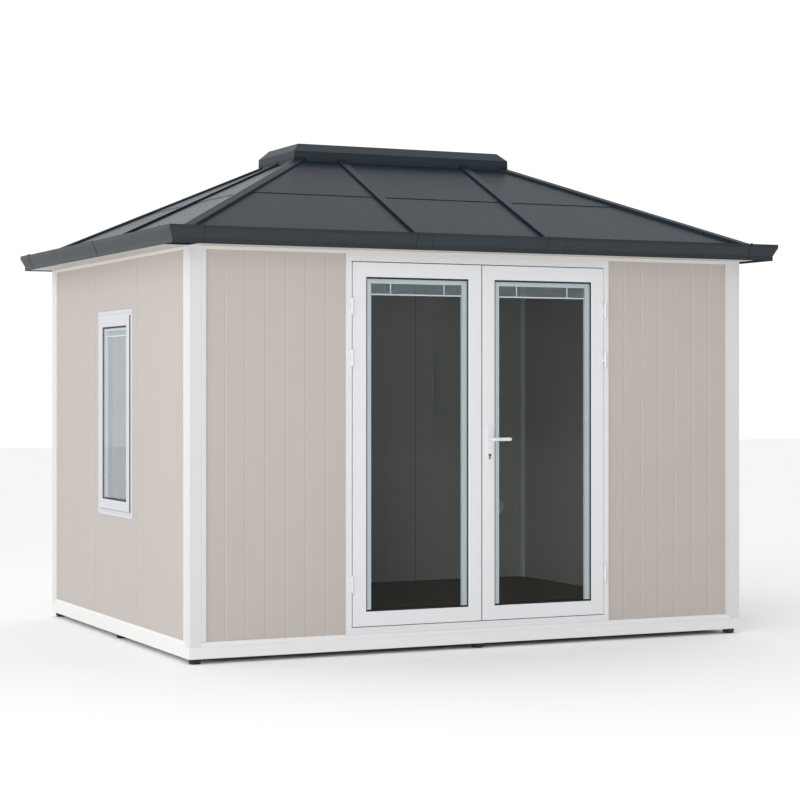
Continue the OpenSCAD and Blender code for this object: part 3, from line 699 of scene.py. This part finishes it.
def gatheredBlind(name, place, width, height, sizes, body, node):
    size = blindSizes
    member, stack, slats = sizes["member"], sizes["stack"], sizes["slats"]
    front = sizes["recess"] + pane["thick"] + size["gap"]
    back = front + pane["cavity"] - 2 * size["gap"]
    outer = member - pane["bite"] + size["wall"]
    inner = member + sizes["channel"]
    strip = inner - size["strip"]
    edge = size["edge"]
    guide = Shape(place)
    guide.frame([(outer, front + size["step"]), (strip - size["wall"], front + size["step"]),
                 (strip, front), (inner - edge, front), (inner, front + edge),
                 (inner, back - edge), (inner - edge, back), (outer, back)],
                0.0, width, outer, height, sides="LRT")
    finishPiece(guide, name + "_channel", blindCoat, body, [node])
    caps = Shape(place)                       # end caps at the channels' feet
    for start, way in ((0.0, 1), (width, -1)):
        x0, x1 = sorted((start + way * (member + size["capInset"]),
                         start + way * (inner - size["wall"])))
        caps.box((x0, front - 0.0002, member + size["capLow"]),
                 (x1, front + size["step"], member + size["capHigh"]), 0.0004)
    finishPiece(caps, name + "_caps", slatCoat, body)

    x0, x1 = inner + size["sideGap"], width - inner - size["sideGap"]
    top = height - inner
    railTopZ = top - stack + size["railHigh"]
    middle = (front + back) / 2
    half = size["slatHalf"]
    pitch = (stack - size["railHigh"]) / slats
    slat = Shape(place)                       # one cambered slat, lowest of the stack
    z = railTopZ + size["slatThick"]
    arc = [(-half, 0.0), (-half / 2, size["shoulder"]), (0.0, size["camber"]),
           (half / 2, size["shoulder"]), (half, 0.0)]
    ring = [(middle + d, z + h) for d, h in arc] + [
        (middle + d, z + h + size["slatThick"]) for d, h in reversed(arc)]
    slat.run(ring, x0, x1)
    finishPiece(repeated(slat, name + "_slats", slatCoat, slats, (0.0, 0.0, pitch),
                         jitter=(0.0, 0.0002, 0.0001), seed=3),
                name + "_slats", slatCoat, body)
    trim = Shape(place)                       # bottom rail and ladder tapes
    trim.box((x0, middle - half - size["wall"], top - stack),
             (x1, middle + half + size["wall"], railTopZ), size["railEdge"])
    for x in sizes["tapes"]:
        trim.box((x - size["tapeHalf"], middle - half - size["tapeFront"],
                  top - stack - size["wall"]),
                 (x + size["tapeHalf"], middle - half - size["tapeBack"], top), 0.0002)
    finishPiece(trim, name + "_rail_and_tapes", tapeCloth, body)


doorLeaf = {"member": 0.083, "recess": 0.010, "depth": 0.050, "bead": 0.003,
            "bevel": 0.003, "channel": 0.036, "stack": 0.066, "slats": 9,
            "tapes": (0.2355, 0.5765)}
leafLow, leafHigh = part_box("right_door")
leafWidth, leafHeight = leafHigh.x - leafLow.x, leafHigh.z - leafLow.z


def leafPlace(way):
    def place(x, d, z):
        x = max(x, doorLeaf["bevel"] * d / doorLeaf["depth"])
        return (way * (leafLow.x + x), leafLow.y + d, leafLow.z + z)
    return place


leverLow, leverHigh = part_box("door_lever")
plateLow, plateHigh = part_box("handle_plates")
lockLow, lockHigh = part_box("lock_cylinder")
handleX = (plateLow.x + plateHigh.x) / 2
leverZ = (leverLow.z + leverHigh.z) / 2
leverHalf = (leverHigh.z - leverLow.z) / 2
lockZ = lockHigh.z - 0.0085
bores = Shape()
bores.tube((handleX, leafLow.y - 0.002, leverZ), (0, 1, 0), [(0, 0.008), (0.054, 0.008)])
bores.box((handleX - 0.0088, leafLow.y - 0.002, lockLow.z - 0.0003),
          (handleX + 0.0088, leafLow.y + 0.052, lockHigh.z + 0.0003), 0.0002)
leaves = ((1, "right", rightLeaf), (-1, "left", leftLeaf))
for way, side, body in leaves:
    glazedLeaf(side + "_leaf_frame", leafPlace(way), leafWidth, leafHeight, doorLeaf,
               frameCoat, body, side + "_door", bores if way > 0 else None)
    gatheredBlind(side + "_blind", leafPlace(way), leafWidth, leafHeight, doorLeaf, body,
                  side + "_door_blind")

for way, side, body in leaves:
    lip = Shape()                             # black lip filling the meeting gap nearly flush, painted as the gap's shade
    edge = way * leafLow.x
    x0, x1 = sorted((edge + way * 0.0002, edge - way * 0.0019))
    lip.box((x0, leafLow.y + 0.0012, leafLow.z + 0.001),
            (x1, leafLow.y + 0.0080, leafHigh.z - 0.001), 0.0003)
    finishPiece(lip, side + "_meeting_lip", rubberAndShadeBlack, body)

sash = {"member": 0.058, "recess": 0.006, "depth": 0.050, "bead": 0.003, "channel": 0.024,
        "stack": 0.038, "slats": 6, "frameFace": 0.036, "stop": 0.014,
        "tapes": (0.150, 0.450)}
sashLow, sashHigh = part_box("window_sash")
sashWidth, sashHeight = sashHigh.y - sashLow.y, sashHigh.z - sashLow.z


def sashPlace(x, d, z):                       # x to the right as seen from outside
    return (sashLow.x + d, sashHigh.y - x, sashLow.z + z)


glazedLeaf("window_sash_frame", sashPlace, sashWidth, sashHeight, sash, windowCoat, house,
           "window_sash")
gatheredBlind("window_blind_set", sashPlace, sashWidth, sashHeight, sash, house,
              "window_blind")
windowFrame = Shape(wallPlaces["left"])
frameDepth = windowLow.x + halfWidth
face = sash["frameFace"]
windowFrame.frame([(0.0, recess), (0.0, frameDepth + 0.0015), (0.0015, frameDepth),
                   (0.020, frameDepth), (0.0225, frameDepth + 0.0025),
                   (face, frameDepth + 0.0025), (face, sash["depth"]),
                   (face + sash["stop"], sash["depth"]),
                   (face + sash["stop"], recess + panelThick),
                   (0.0185, recess + panelThick), (0.0185, recess)],
                  -windowHigh.y, -windowLow.y, windowLow.z, windowHigh.z)
finishPiece(windowFrame, "window_surround", windowCoat, house,
            ["window_frame"])
# the gap between sash and surround is filled nearly flush: white pieces on the left, top and
# bottom, black pieces on the right and bottom, the black standing in for the gap's shade
for sides, finish, name in (("LTB", frameCoat, "window_gap_filler"),
                            ("R", rubberAndShadeBlack, "window_gap_seal")):
    windowGapFill = Shape(wallPlaces["left"])
    windowGapFill.frame([(face + 0.0001, frameDepth - 0.001), (face + 0.0038, 0.003),
                      (face + 0.0038, 0.022), (face + 0.0001, 0.022)],
                     -windowHigh.y, -windowLow.y, windowLow.z, windowHigh.z,
                     sides=sides + ("B" if sides == "R" else ""), gap=0.0)
    finishPiece(windowGapFill, name, finish, house)
print("doors and window glazed")


# ---- hinges, lever and lock

screw = {"radius": 0.0038, "proud": 0.0006, "pitch": 0.032}
hingeX, hingeHeights = 0.829, (0.407, 1.691, 1.986)
for way in (-1, 1):
    for node, offset, face, body in (
            ("frame_hinges", 0.0175, -halfDepth - 0.003, house),
            ("right_door_hinges" if way > 0 else "left_door_hinges", -0.0235,
             leafLow.y - 0.003, rightLeaf if way > 0 else leftLeaf)):
        head = Shape()
        for z in hingeHeights:
            head.tube((way * (hingeX + offset), face, z - screw["pitch"]), (0, -1, 0),
                      [(0.0, screw["radius"]), (screw["proud"] * 0.6, screw["radius"]),
                       (screw["proud"], screw["radius"] * 0.72),
                       (screw["proud"] * 0.4, screw["radius"] * 0.3)], 10)
        name = ("right" if way > 0 else "left") + ("_jamb" if body == house else "_leaf")
        finishPiece(repeated(head, name + "_screws", frameCoat, 3,
                             (0.0, 0.0, screw["pitch"])),
                    name + "_screws", frameCoat, body, smooth=True)

plates = {"edge": 0.0022, "corner": 0.006}


def plateRing(inset, y):
    x0, x1 = plateLow.x + inset, plateHigh.x - inset
    z0, z1 = plateLow.z + inset, plateHigh.z - inset
    radius = plates["corner"] - inset * 0.4
    ring = []
    for cx, cz, start in ((x1 - radius, z0 + radius, -90), (x1 - radius, z1 - radius, 0),
                          (x0 + radius, z1 - radius, 90), (x0 + radius, z0 + radius, 180)):
        ring += [(cx + radius * math.cos(math.radians(start + 15 * i)), y,
                  cz + radius * math.sin(math.radians(start + 15 * i))) for i in range(7)]
    return ring


backPlates = Shape()
for face, root, way in ((plateLow.y, leafLow.y, 1), (plateHigh.y, leafHigh.y, -1)):
    backPlates.loft([plateRing(0.0, root), plateRing(0.0, face + way * plates["edge"]),
                     plateRing(0.0007, face + way * 0.0006),
                     plateRing(plates["edge"], face)])
plateThing = asObject(backPlates, "back_plates")
plateBore = Shape()
plateBore.tube((handleX, plateLow.y - 0.002, leverZ), (0, 1, 0),
               [(0, 0.0093), (plateHigh.y - plateLow.y + 0.004, 0.0093)], 32)
plateBore.box((handleX - 0.0053, plateLow.y - 0.002, lockLow.z - 0.0003),
              (handleX + 0.0053, plateHigh.y + 0.002, lockZ), 0.0001)
plateBore.tube((handleX, plateLow.y - 0.003, lockZ), (0, 1, 0),
               [(0, 0.0088), (plateHigh.y - plateLow.y + 0.006, 0.0088)], 32)
drilled(plateThing, plateBore, True)
finishPiece(plateThing, "back_plates", frameCoat, rightLeaf,
            ["handle_plates"], smooth=True)

lever = Shape()
leverThick = 0.012
armRun = [(-0.0100, 0.30), (-0.0092, 0.55), (-0.0070, 0.80), (-0.0035, 0.95), (0.0, 1.0),
          (0.014, 1.0), (0.030, 0.98), (0.060, 0.97), (0.100, 1.0), (0.112, 1.0),
          (0.1168, 0.92), (0.1197, 0.74), (0.1213, 0.48), (0.1219, 0.2)]
for y in (leverLow.y + leverThick / 2, leverHigh.y - leverThick / 2):
    rings = []
    for x, k in armRun:
        ring = []
        for i in range(24):
            turn = 2 * math.pi * i / 24
            c, s = math.cos(turn), math.sin(turn)
            ring.append((handleX + x,
                         y + leverThick / 2 * k * math.copysign(abs(c) ** 0.7, c),
                         leverZ + leverHalf * k * math.copysign(abs(s) ** 0.8, s)))
        rings.append(ring)
    lever.loft(rings)
for tip, way, root in ((leverLow.y, 1, leafLow.y), (leverHigh.y, -1, leafHigh.y)):
    lever.tube((handleX, tip + way * 0.006, leverZ), (0, way, 0),
               [(0, 0.0088), (0.020, 0.0078), (0.036, 0.0078),
                (abs(root - tip) - 0.006, 0.0090)], 28)
lever.tube((handleX, leafLow.y, leverZ), (0, 1, 0), [(0, 0.006), (0.05, 0.006)], 16)
finishPiece(lever, "lever_handle", frameCoat, handle, ["door_lever"],
            smooth=True)

keyPlug = Shape()
for y, way in ((lockLow.y, -1), (lockHigh.y, 1)):
    keyPlug.tube((handleX, y - way * 0.002, lockZ), (0, way, 0),
                 [(0, 0.0062), (0.0024, 0.0062), (0.0028, 0.0058)], 28)
finishPiece(keyPlug, "key_plug", plugBrass, rightLeaf, smooth=True)
# black box painted as the shade inside the keyway
keywayShade = Shape()
for y in (lockLow.y - 0.0009, lockHigh.y - 0.0009):
    keywayShade.box((handleX - 0.0011, y, lockZ - 0.0042),
                (handleX + 0.0011, y + 0.0018, lockZ + 0.0034), 0.0003)
finishPiece(keywayShade, "key_slot", rubberAndShadeBlack, rightLeaf)
print("door furniture ready")


# ---- port and rack on the back wall

portLow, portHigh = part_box("wall_port")
portX, portZ = (portLow.x + portHigh.x) / 2, (portLow.z + portHigh.z) / 2
portRadius = (portHigh.z - portLow.z) / 2
wallInner, wallOuter = halfDepth - recess - panelThick, halfDepth - recess
port = Shape()
for y, way in ((wallInner, -1), (wallOuter, 1)):
    port.tube((portX, y - way * 0.0005, portZ), (0, way, 0),
              [(0.0, portRadius), (0.007, portRadius), (0.0098, portRadius - 0.004),
               (0.0104, portRadius - 0.009), (0.0086, portRadius - 0.012),
               (0.0066, portRadius - 0.014), (0.0062, portRadius - 0.030),
               (0.0078, portRadius - 0.034), (0.0082, 0.004)], 48)
finishPiece(port, "port_covers", portPlastic, house, ["wall_port"],
            smooth=True)

rackLow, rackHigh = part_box("wall_rack")
rack = {"height": 0.028, "depth": 0.018, "uprightDepth": 0.012, "slotPitch": 0.0313,
        "slotHigh": 0.018, "uprightX": 1.020, "railHeights": (1.413, 1.710), "half": 0.020,
        "slotOuter": 0.011, "slotInner": 0.004, "flange": 0.0182, "sheet": 0.002}
rackShape = Shape()
for z in rack["railHeights"]:                 # folded rails, open below
    y0, y1 = wallInner - rack["depth"], wallInner
    z0, z1 = z - rack["height"] / 2, z + rack["height"] / 2
    outline = [(y0 + 0.001, z0), (y0 + 0.0025, z0), (y0 + 0.0025, z1 - 0.003),
               (y1 - 0.002, z1 - 0.003), (y1 - 0.002, z0), (y1, z0), (y1, z1),
               (y0 + 0.0015, z1), (y0, z1 - 0.0015), (y0, z0 + 0.001)]
    rackShape.run(outline, rackLow.x, rackHigh.x)
finishPiece(rackShape, "shelf_rails", rackCoat, house, ["wall_rack"])
cell = Shape()                                # one rung with its slots on both sides
rung = rack["slotPitch"] - rack["slotHigh"]
frontY = wallInner - rack["uprightDepth"]


def strut(x0, x1, y0, y1, high):
    x0, x1 = rack["uprightX"] + x0, rack["uprightX"] + x1
    cell.prism(((x0, y0), (x1, y0), (x1, y1), (x0, y1)), rackLow.z, rackLow.z + high)


half, outer, middle = rack["half"], rack["slotOuter"], rack["slotInner"]
for x0, x1 in ((-half, -outer), (-middle, middle), (outer, half)):
    strut(x0, x1, frontY, frontY + rack["sheet"], rack["slotPitch"])
strut(-half, half, frontY + 0.0001, frontY + 0.0019, rung)
for x0, x1 in ((-half, -rack["flange"]), (rack["flange"], half)):
    strut(x0, x1, frontY + 0.001, wallInner, rack["slotPitch"])
finishPiece(repeated(cell, "slotted_upright", rackCoat,
                     int((rackHigh.z - rackLow.z) / rack["slotPitch"]),
                     (0.0, 0.0, rack["slotPitch"])),
            "slotted_upright", rackCoat, house, ["wall_rack"])
print("back wall fitted")


# ---- roof

slope = math.radians(25)
roof = {"pitch": math.tan(slope), "beamTop": postHigh.z, "sheet": 0.030, "eave": 0.110,
        "opening": 1.135, "seam": 0.515, "lapSheet": 0.002, "lapShadeSeal": 0.0012,
        "lapInset": 0.02, "lapLip": 0.004, "stripHigh": 0.0165, "stripEdge": 0.0015,
        "stripBevel": 0.002, "sealInset": 0.001, "stripSheet": 0.0130, "ribHalf": 0.027,
        "ribPlaces": (-0.425, 0.425), "hipHalf": 0.041}
sheetRise = roof["sheet"] / math.cos(slope)


def sheetZ(out):
    return roof["beamTop"] - out * roof["pitch"] + sheetRise


def slopePlate(shape, side, outer, inner, low, high, trim=0.0):
    shape.place = wallPlaces[side]
    half = wallHalf[side]
    rings = []
    for level in (low, high):
        rings.append([(-half - outer + trim, -outer, sheetZ(outer) + level),
                      (half + outer - trim, -outer, sheetZ(outer) + level),
                      (half + inner - trim, -inner, sheetZ(inner) + level),
                      (-half - inner + trim, -inner, sheetZ(inner) + level)])
    shape.loft(rings)


# the upper sheets lie on a black seal set back under their lower edge: a seal, and also
# painted shade that darkens the lap line
lapSheets, lapShadeSeals = Shape(), Shape()
for side in wallHalf:
    inner = -roof["opening"] + 0.002
    slopePlate(lapSheets, side, -roof["seam"], inner, roof["lapShadeSeal"],
               roof["lapShadeSeal"] + roof["lapSheet"], roof["lapInset"])
    slopePlate(lapShadeSeals, side, -roof["seam"] - roof["lapLip"], inner, 0.0,
               roof["lapShadeSeal"], roof["lapInset"])
finishPiece(lapSheets, "upper_sheets", sheetCoat, house)
finishPiece(lapShadeSeals, "sheet_lap_seals", rubberAndShadeBlack, house)

stripTops, stripSeals = Shape(), Shape()
capLow, capTop = roof["stripHigh"] - roof["stripSheet"], roof["stripHigh"]


def alongSlope(shape, side, middle, section):
    shape.place = wallPlaces[side]
    shape.loft([[(middle + x, -out, sheetZ(out) + h) for x, h in section]
                for out in (roof["eave"] - 0.0005, -roof["opening"] + 0.001)])


def stripSection(half):
    edge, bevel = capTop - roof["stripEdge"], roof["stripBevel"]
    return [(-half, capLow), (-half, edge), (-half + bevel, capTop),
            (half - bevel, capTop), (half, edge), (half, capLow)]


def sealSection(half):
    half -= roof["sealInset"]
    return [(-half, 0.0), (half, 0.0), (half, capLow), (-half, capLow)]


for side, places in (("front", roof["ribPlaces"]), ("back", roof["ribPlaces"]),
                     ("left", (0.0,)), ("right", (0.0,))):
    for middle in places:
        alongSlope(stripTops, side, middle, stripSection(roof["ribHalf"]))
        alongSlope(stripSeals, side, middle, sealSection(roof["ribHalf"]))
finishPiece(stripTops, "rib_strips", sheetCoat, house, ["roof_ribs"])
finishPiece(stripSeals, "rib_seals", rubberAndShadeBlack, house)

hipTops, hipSeals = Shape(), Shape()
fall = roof["pitch"] / math.sqrt(2)


def hipRun(shape, section):                   # section: (offset from the hip, height)
    for sx in (-1, 1):
        for sy in (-1, 1):
            rings = []
            for end in (roof["eave"] - 0.0005, -roof["opening"] + 0.001):
                ring = []
                for offset, height in section:
                    out = end - abs(offset) / math.sqrt(2)
                    shift = offset / math.sqrt(2)
                    ring.append((sx * (halfWidth + out - shift),
                                 sy * (halfDepth + out + shift),
                                 sheetZ(out) - abs(offset) * fall + height))
                rings.append(ring)
            shape.loft(rings)


half = roof["hipHalf"]
top = stripSection(half)
hipRun(hipTops, top[:3] + [(0.0, capTop)] + top[3:] + [(0.0, capLow)])
half -= roof["sealInset"]
hipRun(hipSeals, [(-half, 0.0), (-half, capLow), (0.0, capLow),
                  (half, capLow), (half, 0.0), (0.0, 0.0)])
finishPiece(hipTops, "hip_strips", sheetCoat, house, ["hip_caps"])
finishPiece(hipSeals, "hip_seals", rubberAndShadeBlack, house)

ridgeLow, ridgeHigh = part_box("ridge_cap")
capTrim = {"inset": 0.003, "sheet": 0.002, "longDrop": 0.022, "endDrop": 0.028,
           "lap": 0.006, "edge": 0.0003, "notchLow": 0.0050, "notchHigh": 0.0095,
           "reach": 0.0006, "deep": 0.002, "ribHalf": 0.031, "cornerLong": 0.068,
           "cornerEnd": 0.052, "endLower": 0.003}
apron = Shape()                               # closes the gap under the cap's rim
inset, sheet = capTrim["inset"], capTrim["sheet"]
top = ridgeLow.z + capTrim["lap"]
for y in (ridgeLow.y + inset, ridgeHigh.y - inset - sheet):
    apron.box((ridgeLow.x + inset, y, ridgeLow.z - capTrim["longDrop"]),
              (ridgeHigh.x - inset, y + sheet, top), capTrim["edge"])
for x in (ridgeLow.x + inset, ridgeHigh.x - inset - sheet):
    apron.box((x, ridgeLow.y + inset, ridgeLow.z - capTrim["endDrop"]),
              (x + sheet, ridgeHigh.y - inset, top), capTrim["edge"])
finishPiece(apron, "cap_apron", trimCoat, house)

slotShades = Shape()                             # black blocks painted as the shade of the slots where ribs and hips run in under the rim
low, high = ridgeLow.z - capTrim["notchLow"], ridgeLow.z + capTrim["notchHigh"]
reach, deep, ribHalf = capTrim["reach"], capTrim["deep"], capTrim["ribHalf"]
for way in (-1, 1):
    y0, y1 = sorted((way * (ridgeHigh.y + reach), way * (ridgeHigh.y - deep)))
    spans = [(x - ribHalf, x + ribHalf) for x in roof["ribPlaces"]]
    spans += [(-ridgeHigh.x - reach, -ridgeHigh.x + capTrim["cornerLong"]),
              (ridgeHigh.x - capTrim["cornerLong"], ridgeHigh.x + reach)]
    for x0, x1 in spans:
        slotShades.box((x0, y0, low), (x1, y1, high), 0.0001)
    x0, x1 = sorted((way * (ridgeHigh.x + reach), way * (ridgeHigh.x - deep)))
    for ya, yb in ((-ribHalf, ribHalf), (ridgeLow.y - reach,
                                         ridgeLow.y + capTrim["cornerEnd"]),
                   (ridgeHigh.y - capTrim["cornerEnd"], ridgeHigh.y + reach)):
        slotShades.box((x0, ya, low - capTrim["endLower"]), (x1, yb, high), 0.0001)
finishPiece(slotShades, "cap_notches", rubberAndShadeBlack, house)
print("roof ready")


# ---- gutters

gutters = {"foot": 0.146, "lip": 0.170, "lipHigh": 0.020, "band": 0.027, "inner": 0.097,
           "innerHigh": 0.024, "sheet": 0.0018, "bodyInset": 0.0013, "cornerRun": 0.028,
           "joints": ((-0.487, -0.392), (0.357, 0.472)), "sideJoints": ((0.038, 0.120),),
           "sealWidth": 0.006, "sealDip": 0.0002, "mitre": 0.0003, "overlap": 0.02,
           "clipWide": 0.012, "clipLow": 0.006, "clipHigh": 0.0045, "clipSheet": 0.0004,
           "clipEdge": 0.0006}
gutterLow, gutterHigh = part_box("gutter_front")
gutterZ, gutterHighFace = gutterLow.z, gutterHigh.z - gutterLow.z


def gutterOutline(inset):                     # (out of the wall, height), a thin channel
    chain = [(gutters["inner"] + inset, gutters["innerHigh"]),
             (gutters["inner"] + inset, inset), (gutters["foot"] - inset, inset),
             (gutters["foot"] - inset, gutters["band"]),
             (gutters["lip"] - inset, gutterHighFace - gutters["lipHigh"]),
             (gutters["lip"] - inset, gutterHighFace - inset)]
    thick = gutters["sheet"]
    inside = [(out + (thick if i < 2 else -thick), max(z, inset + thick))
              for i, (out, z) in reversed(list(enumerate(chain)))]
    return [(out, gutterZ + z) for out, z in chain + inside]


def gutterRun(shape, side, start, end, inset):
    # start and end are places along the wall, or None for a mitred corner
    shape.place = wallPlaces[side]
    half, mitre = wallHalf[side], gutters["mitre"]
    shape.loft([[(way * (half + out - mitre) if place is None else place, -out, z)
                 for out, z in gutterOutline(inset)]
                for place, way in ((start, -1), (end, 1))])


for side, half in wallHalf.items():
    edge = half - gutters["cornerRun"]
    bodyShape, fittings, beads = Shape(), Shape(), Shape()
    gutterRun(bodyShape, side, -edge - gutters["overlap"], edge + gutters["overlap"],
              gutters["bodyInset"])
    gutterRun(fittings, side, None, -edge, 0.0)
    gutterRun(fittings, side, edge, None, 0.0)
    sleeves = gutters["joints"] if side in ("front", "back") else gutters["sideJoints"]
    sealed = [-edge, edge - gutters["sealWidth"]]
    for low, high in sleeves:
        gutterRun(fittings, side, low, high, 0.0)
        sealed += [low - gutters["sealWidth"], high]
    for x in sealed:                          # sealant bead beside each fitting
        gutterRun(beads, side, x, x + gutters["sealWidth"], gutters["sealDip"])
    fittings.place = wallPlaces[side]
    clip = gutters["clipWide"]
    rim = gutterZ + gutterHighFace
    for x in (-edge - clip, edge):            # clips over the lip
        fittings.box((x, -gutters["lip"] + gutters["clipSheet"], rim - gutters["clipLow"]),
                     (x + clip, -gutters["lip"] + clip, rim + gutters["clipHigh"]),
                     gutters["clipEdge"])
    finishPiece(bodyShape, "gutter_run_" + side, gutterCoat, house,
                ["gutter_" + side])
    finishPiece(fittings, "gutter_fittings_" + side, gutterCoat, house)
    finishPiece(beads, "gutter_sealant_" + side, rubberAndShadeBlack, house)
eaves = {"start": 0.0006, "edge": 0.0005, "sheet": 0.0009, "lap": 0.0001,
         "banded": ("front", "left")}
eaveEnd = gutters["foot"] - eaves["edge"]
shadeSheets, eaveBands = Shape(), Shape()     # dark sheet all round, painted as the shade under the eaves; pale bands below
for side, half in wallHalf.items():
    strips = [(shadeSheets, 0.0, 1.0)]
    if side in eaves["banded"]:
        strips.append((eaveBands, eaves["sheet"], 0.0))
    for shape, level, spread in strips:
        low, high = -level - eaves["sheet"], eaves["lap"] - level
        shape.place = wallPlaces[side]
        shape.loft([[(way * (half + out * spread), -out, gutterZ + z) for out, z in
                     ((eaves["start"], low), (eaveEnd, low), (eaveEnd, high),
                      (eaves["start"], high))] for way in (-1, 1)])
finishPiece(shadeSheets, "eaves_undersides", paintedShadeCoat, house)
finishPiece(eaveBands, "eaves_bands", soffitCoat, house)
print("gutters ready")


# ---- finishes for the CAD nodes that stay

for node, finish in {
        "top_rails": headBounceCoat, "floor_joists": steelZinc, "frame_hinges": frameCoat,
        "left_door_hinges": frameCoat, "right_door_hinges": frameCoat,
        "window_glass": paneGlass, "roof_front": sheetCoat, "roof_back": sheetCoat,
        "roof_left": sheetCoat, "roof_right": sheetCoat, "roof_frame": postCoat,
        "ridge_cap": trimCoat, "soffit": soffitCoat, "left_door_glass": paneGlass,
        "right_door_glass": paneGlass, "lock_cylinder": brassMetal}.items():
    dress(node, finish)


# ---- floor, light and camera

studio = {"floorTone": (0.97, 0.97, 0.97, 1), "sky": 1.06, "darkSide": 0.22,
          "darkTowards": (0.42, -0.906, 0.0), "keyPower": 310.0, "keySize": 5.0,
          "keyPlace": (-8.0, -11.0, 7.0), "fillPower": 270.0, "fillSize": 4.0,
          "fillPlace": (-7.0, -13.5, 1.6)}

floor = Shape()
floor.box((-40, -40, -0.05), (40, 40, 0.0), 0.01)
floorPiece = asObject(floor, "studio_floor")
floorFinish = Finish("Studio floor")
floorPiece.data.materials.append(floorFinish.solid(
    Base_Color=floorFinish.blend(floorFinish.noise(0.4, 3), studio["floorTone"],
                                 scaled(studio["floorTone"], 1.02)), Roughness=0.9))

world = bpy.data.worlds.new("Studio")         # white all round, dark behind the viewer
bpy.context.scene.world = world
world.use_nodes = True
sky = Book(world.node_tree)
facing = sky.node("ShaderNodeVectorMath", {"operation": "DOT_PRODUCT"},
                  [sky.node("ShaderNodeTexCoord", out="Generated"),
                   studio["darkTowards"]], "Value")
shade = sky.node("ShaderNodeValToRGB", {"stops": [
    (0.35, studio["sky"]), (0.80, studio["darkSide"])]}, [facing])
sky.node("ShaderNodeOutputWorld", None, {"Surface": sky.node(
    "ShaderNodeBackground", None, {"Color": shade, "Strength": 1.0})})


def softLight(name, place, target, width, height, power, colour=(1, 1, 1)):
    lamp = bpy.data.lights.new(name, "AREA")
    lamp.shape = "RECTANGLE"
    lamp.size = width
    lamp.size_y = height
    lamp.energy = power
    lamp.color = colour
    holder = bpy.data.objects.new(name, lamp)
    bpy.context.scene.collection.objects.link(holder)
    holder.location = place
    holder.rotation_euler = (Vector(target) - Vector(place)).to_track_quat(
        "-Z", "Y").to_euler()


softLight("key_light", studio["keyPlace"], (0, 0, 1.3), studio["keySize"],
          studio["keySize"], studio["keyPower"])
softLight("side_fill", (-11.0, -1.0, 1.4), (-1.8, 0, 1.0), 4.0, 2.0, 40.0)
softLight("front_fill", studio["fillPlace"], (0, -1.4, 0.5), studio["fillSize"],
          studio["fillSize"] * 0.7, studio["fillPower"])
softLight("room_glow", (0.0, -0.9, 1.98), (0.0, 1.3, 1.3), 1.6, 0.4, 3.1, (0.8, 0.92, 1.0))
print("studio lit")

view = {"place": (-5.602, -12.268, 1.520), "yaw": 25.0, "lens": 94.24, "shift": -0.0148}
lens = bpy.data.cameras.new("Camera")
lens.lens = view["lens"]
lens.sensor_width = 36
lens.shift_y = view["shift"]
lens.clip_end = 200
camera = bpy.data.objects.new("Camera", lens)
bpy.context.scene.collection.objects.link(camera)
camera.location = view["place"]
camera.rotation_euler = (math.radians(90), 0, -math.radians(view["yaw"]))
bpy.context.scene.camera = camera
bpy.context.scene.view_settings.view_transform = "Standard"
bpy.context.scene.cycles.transparent_max_bounces = 24
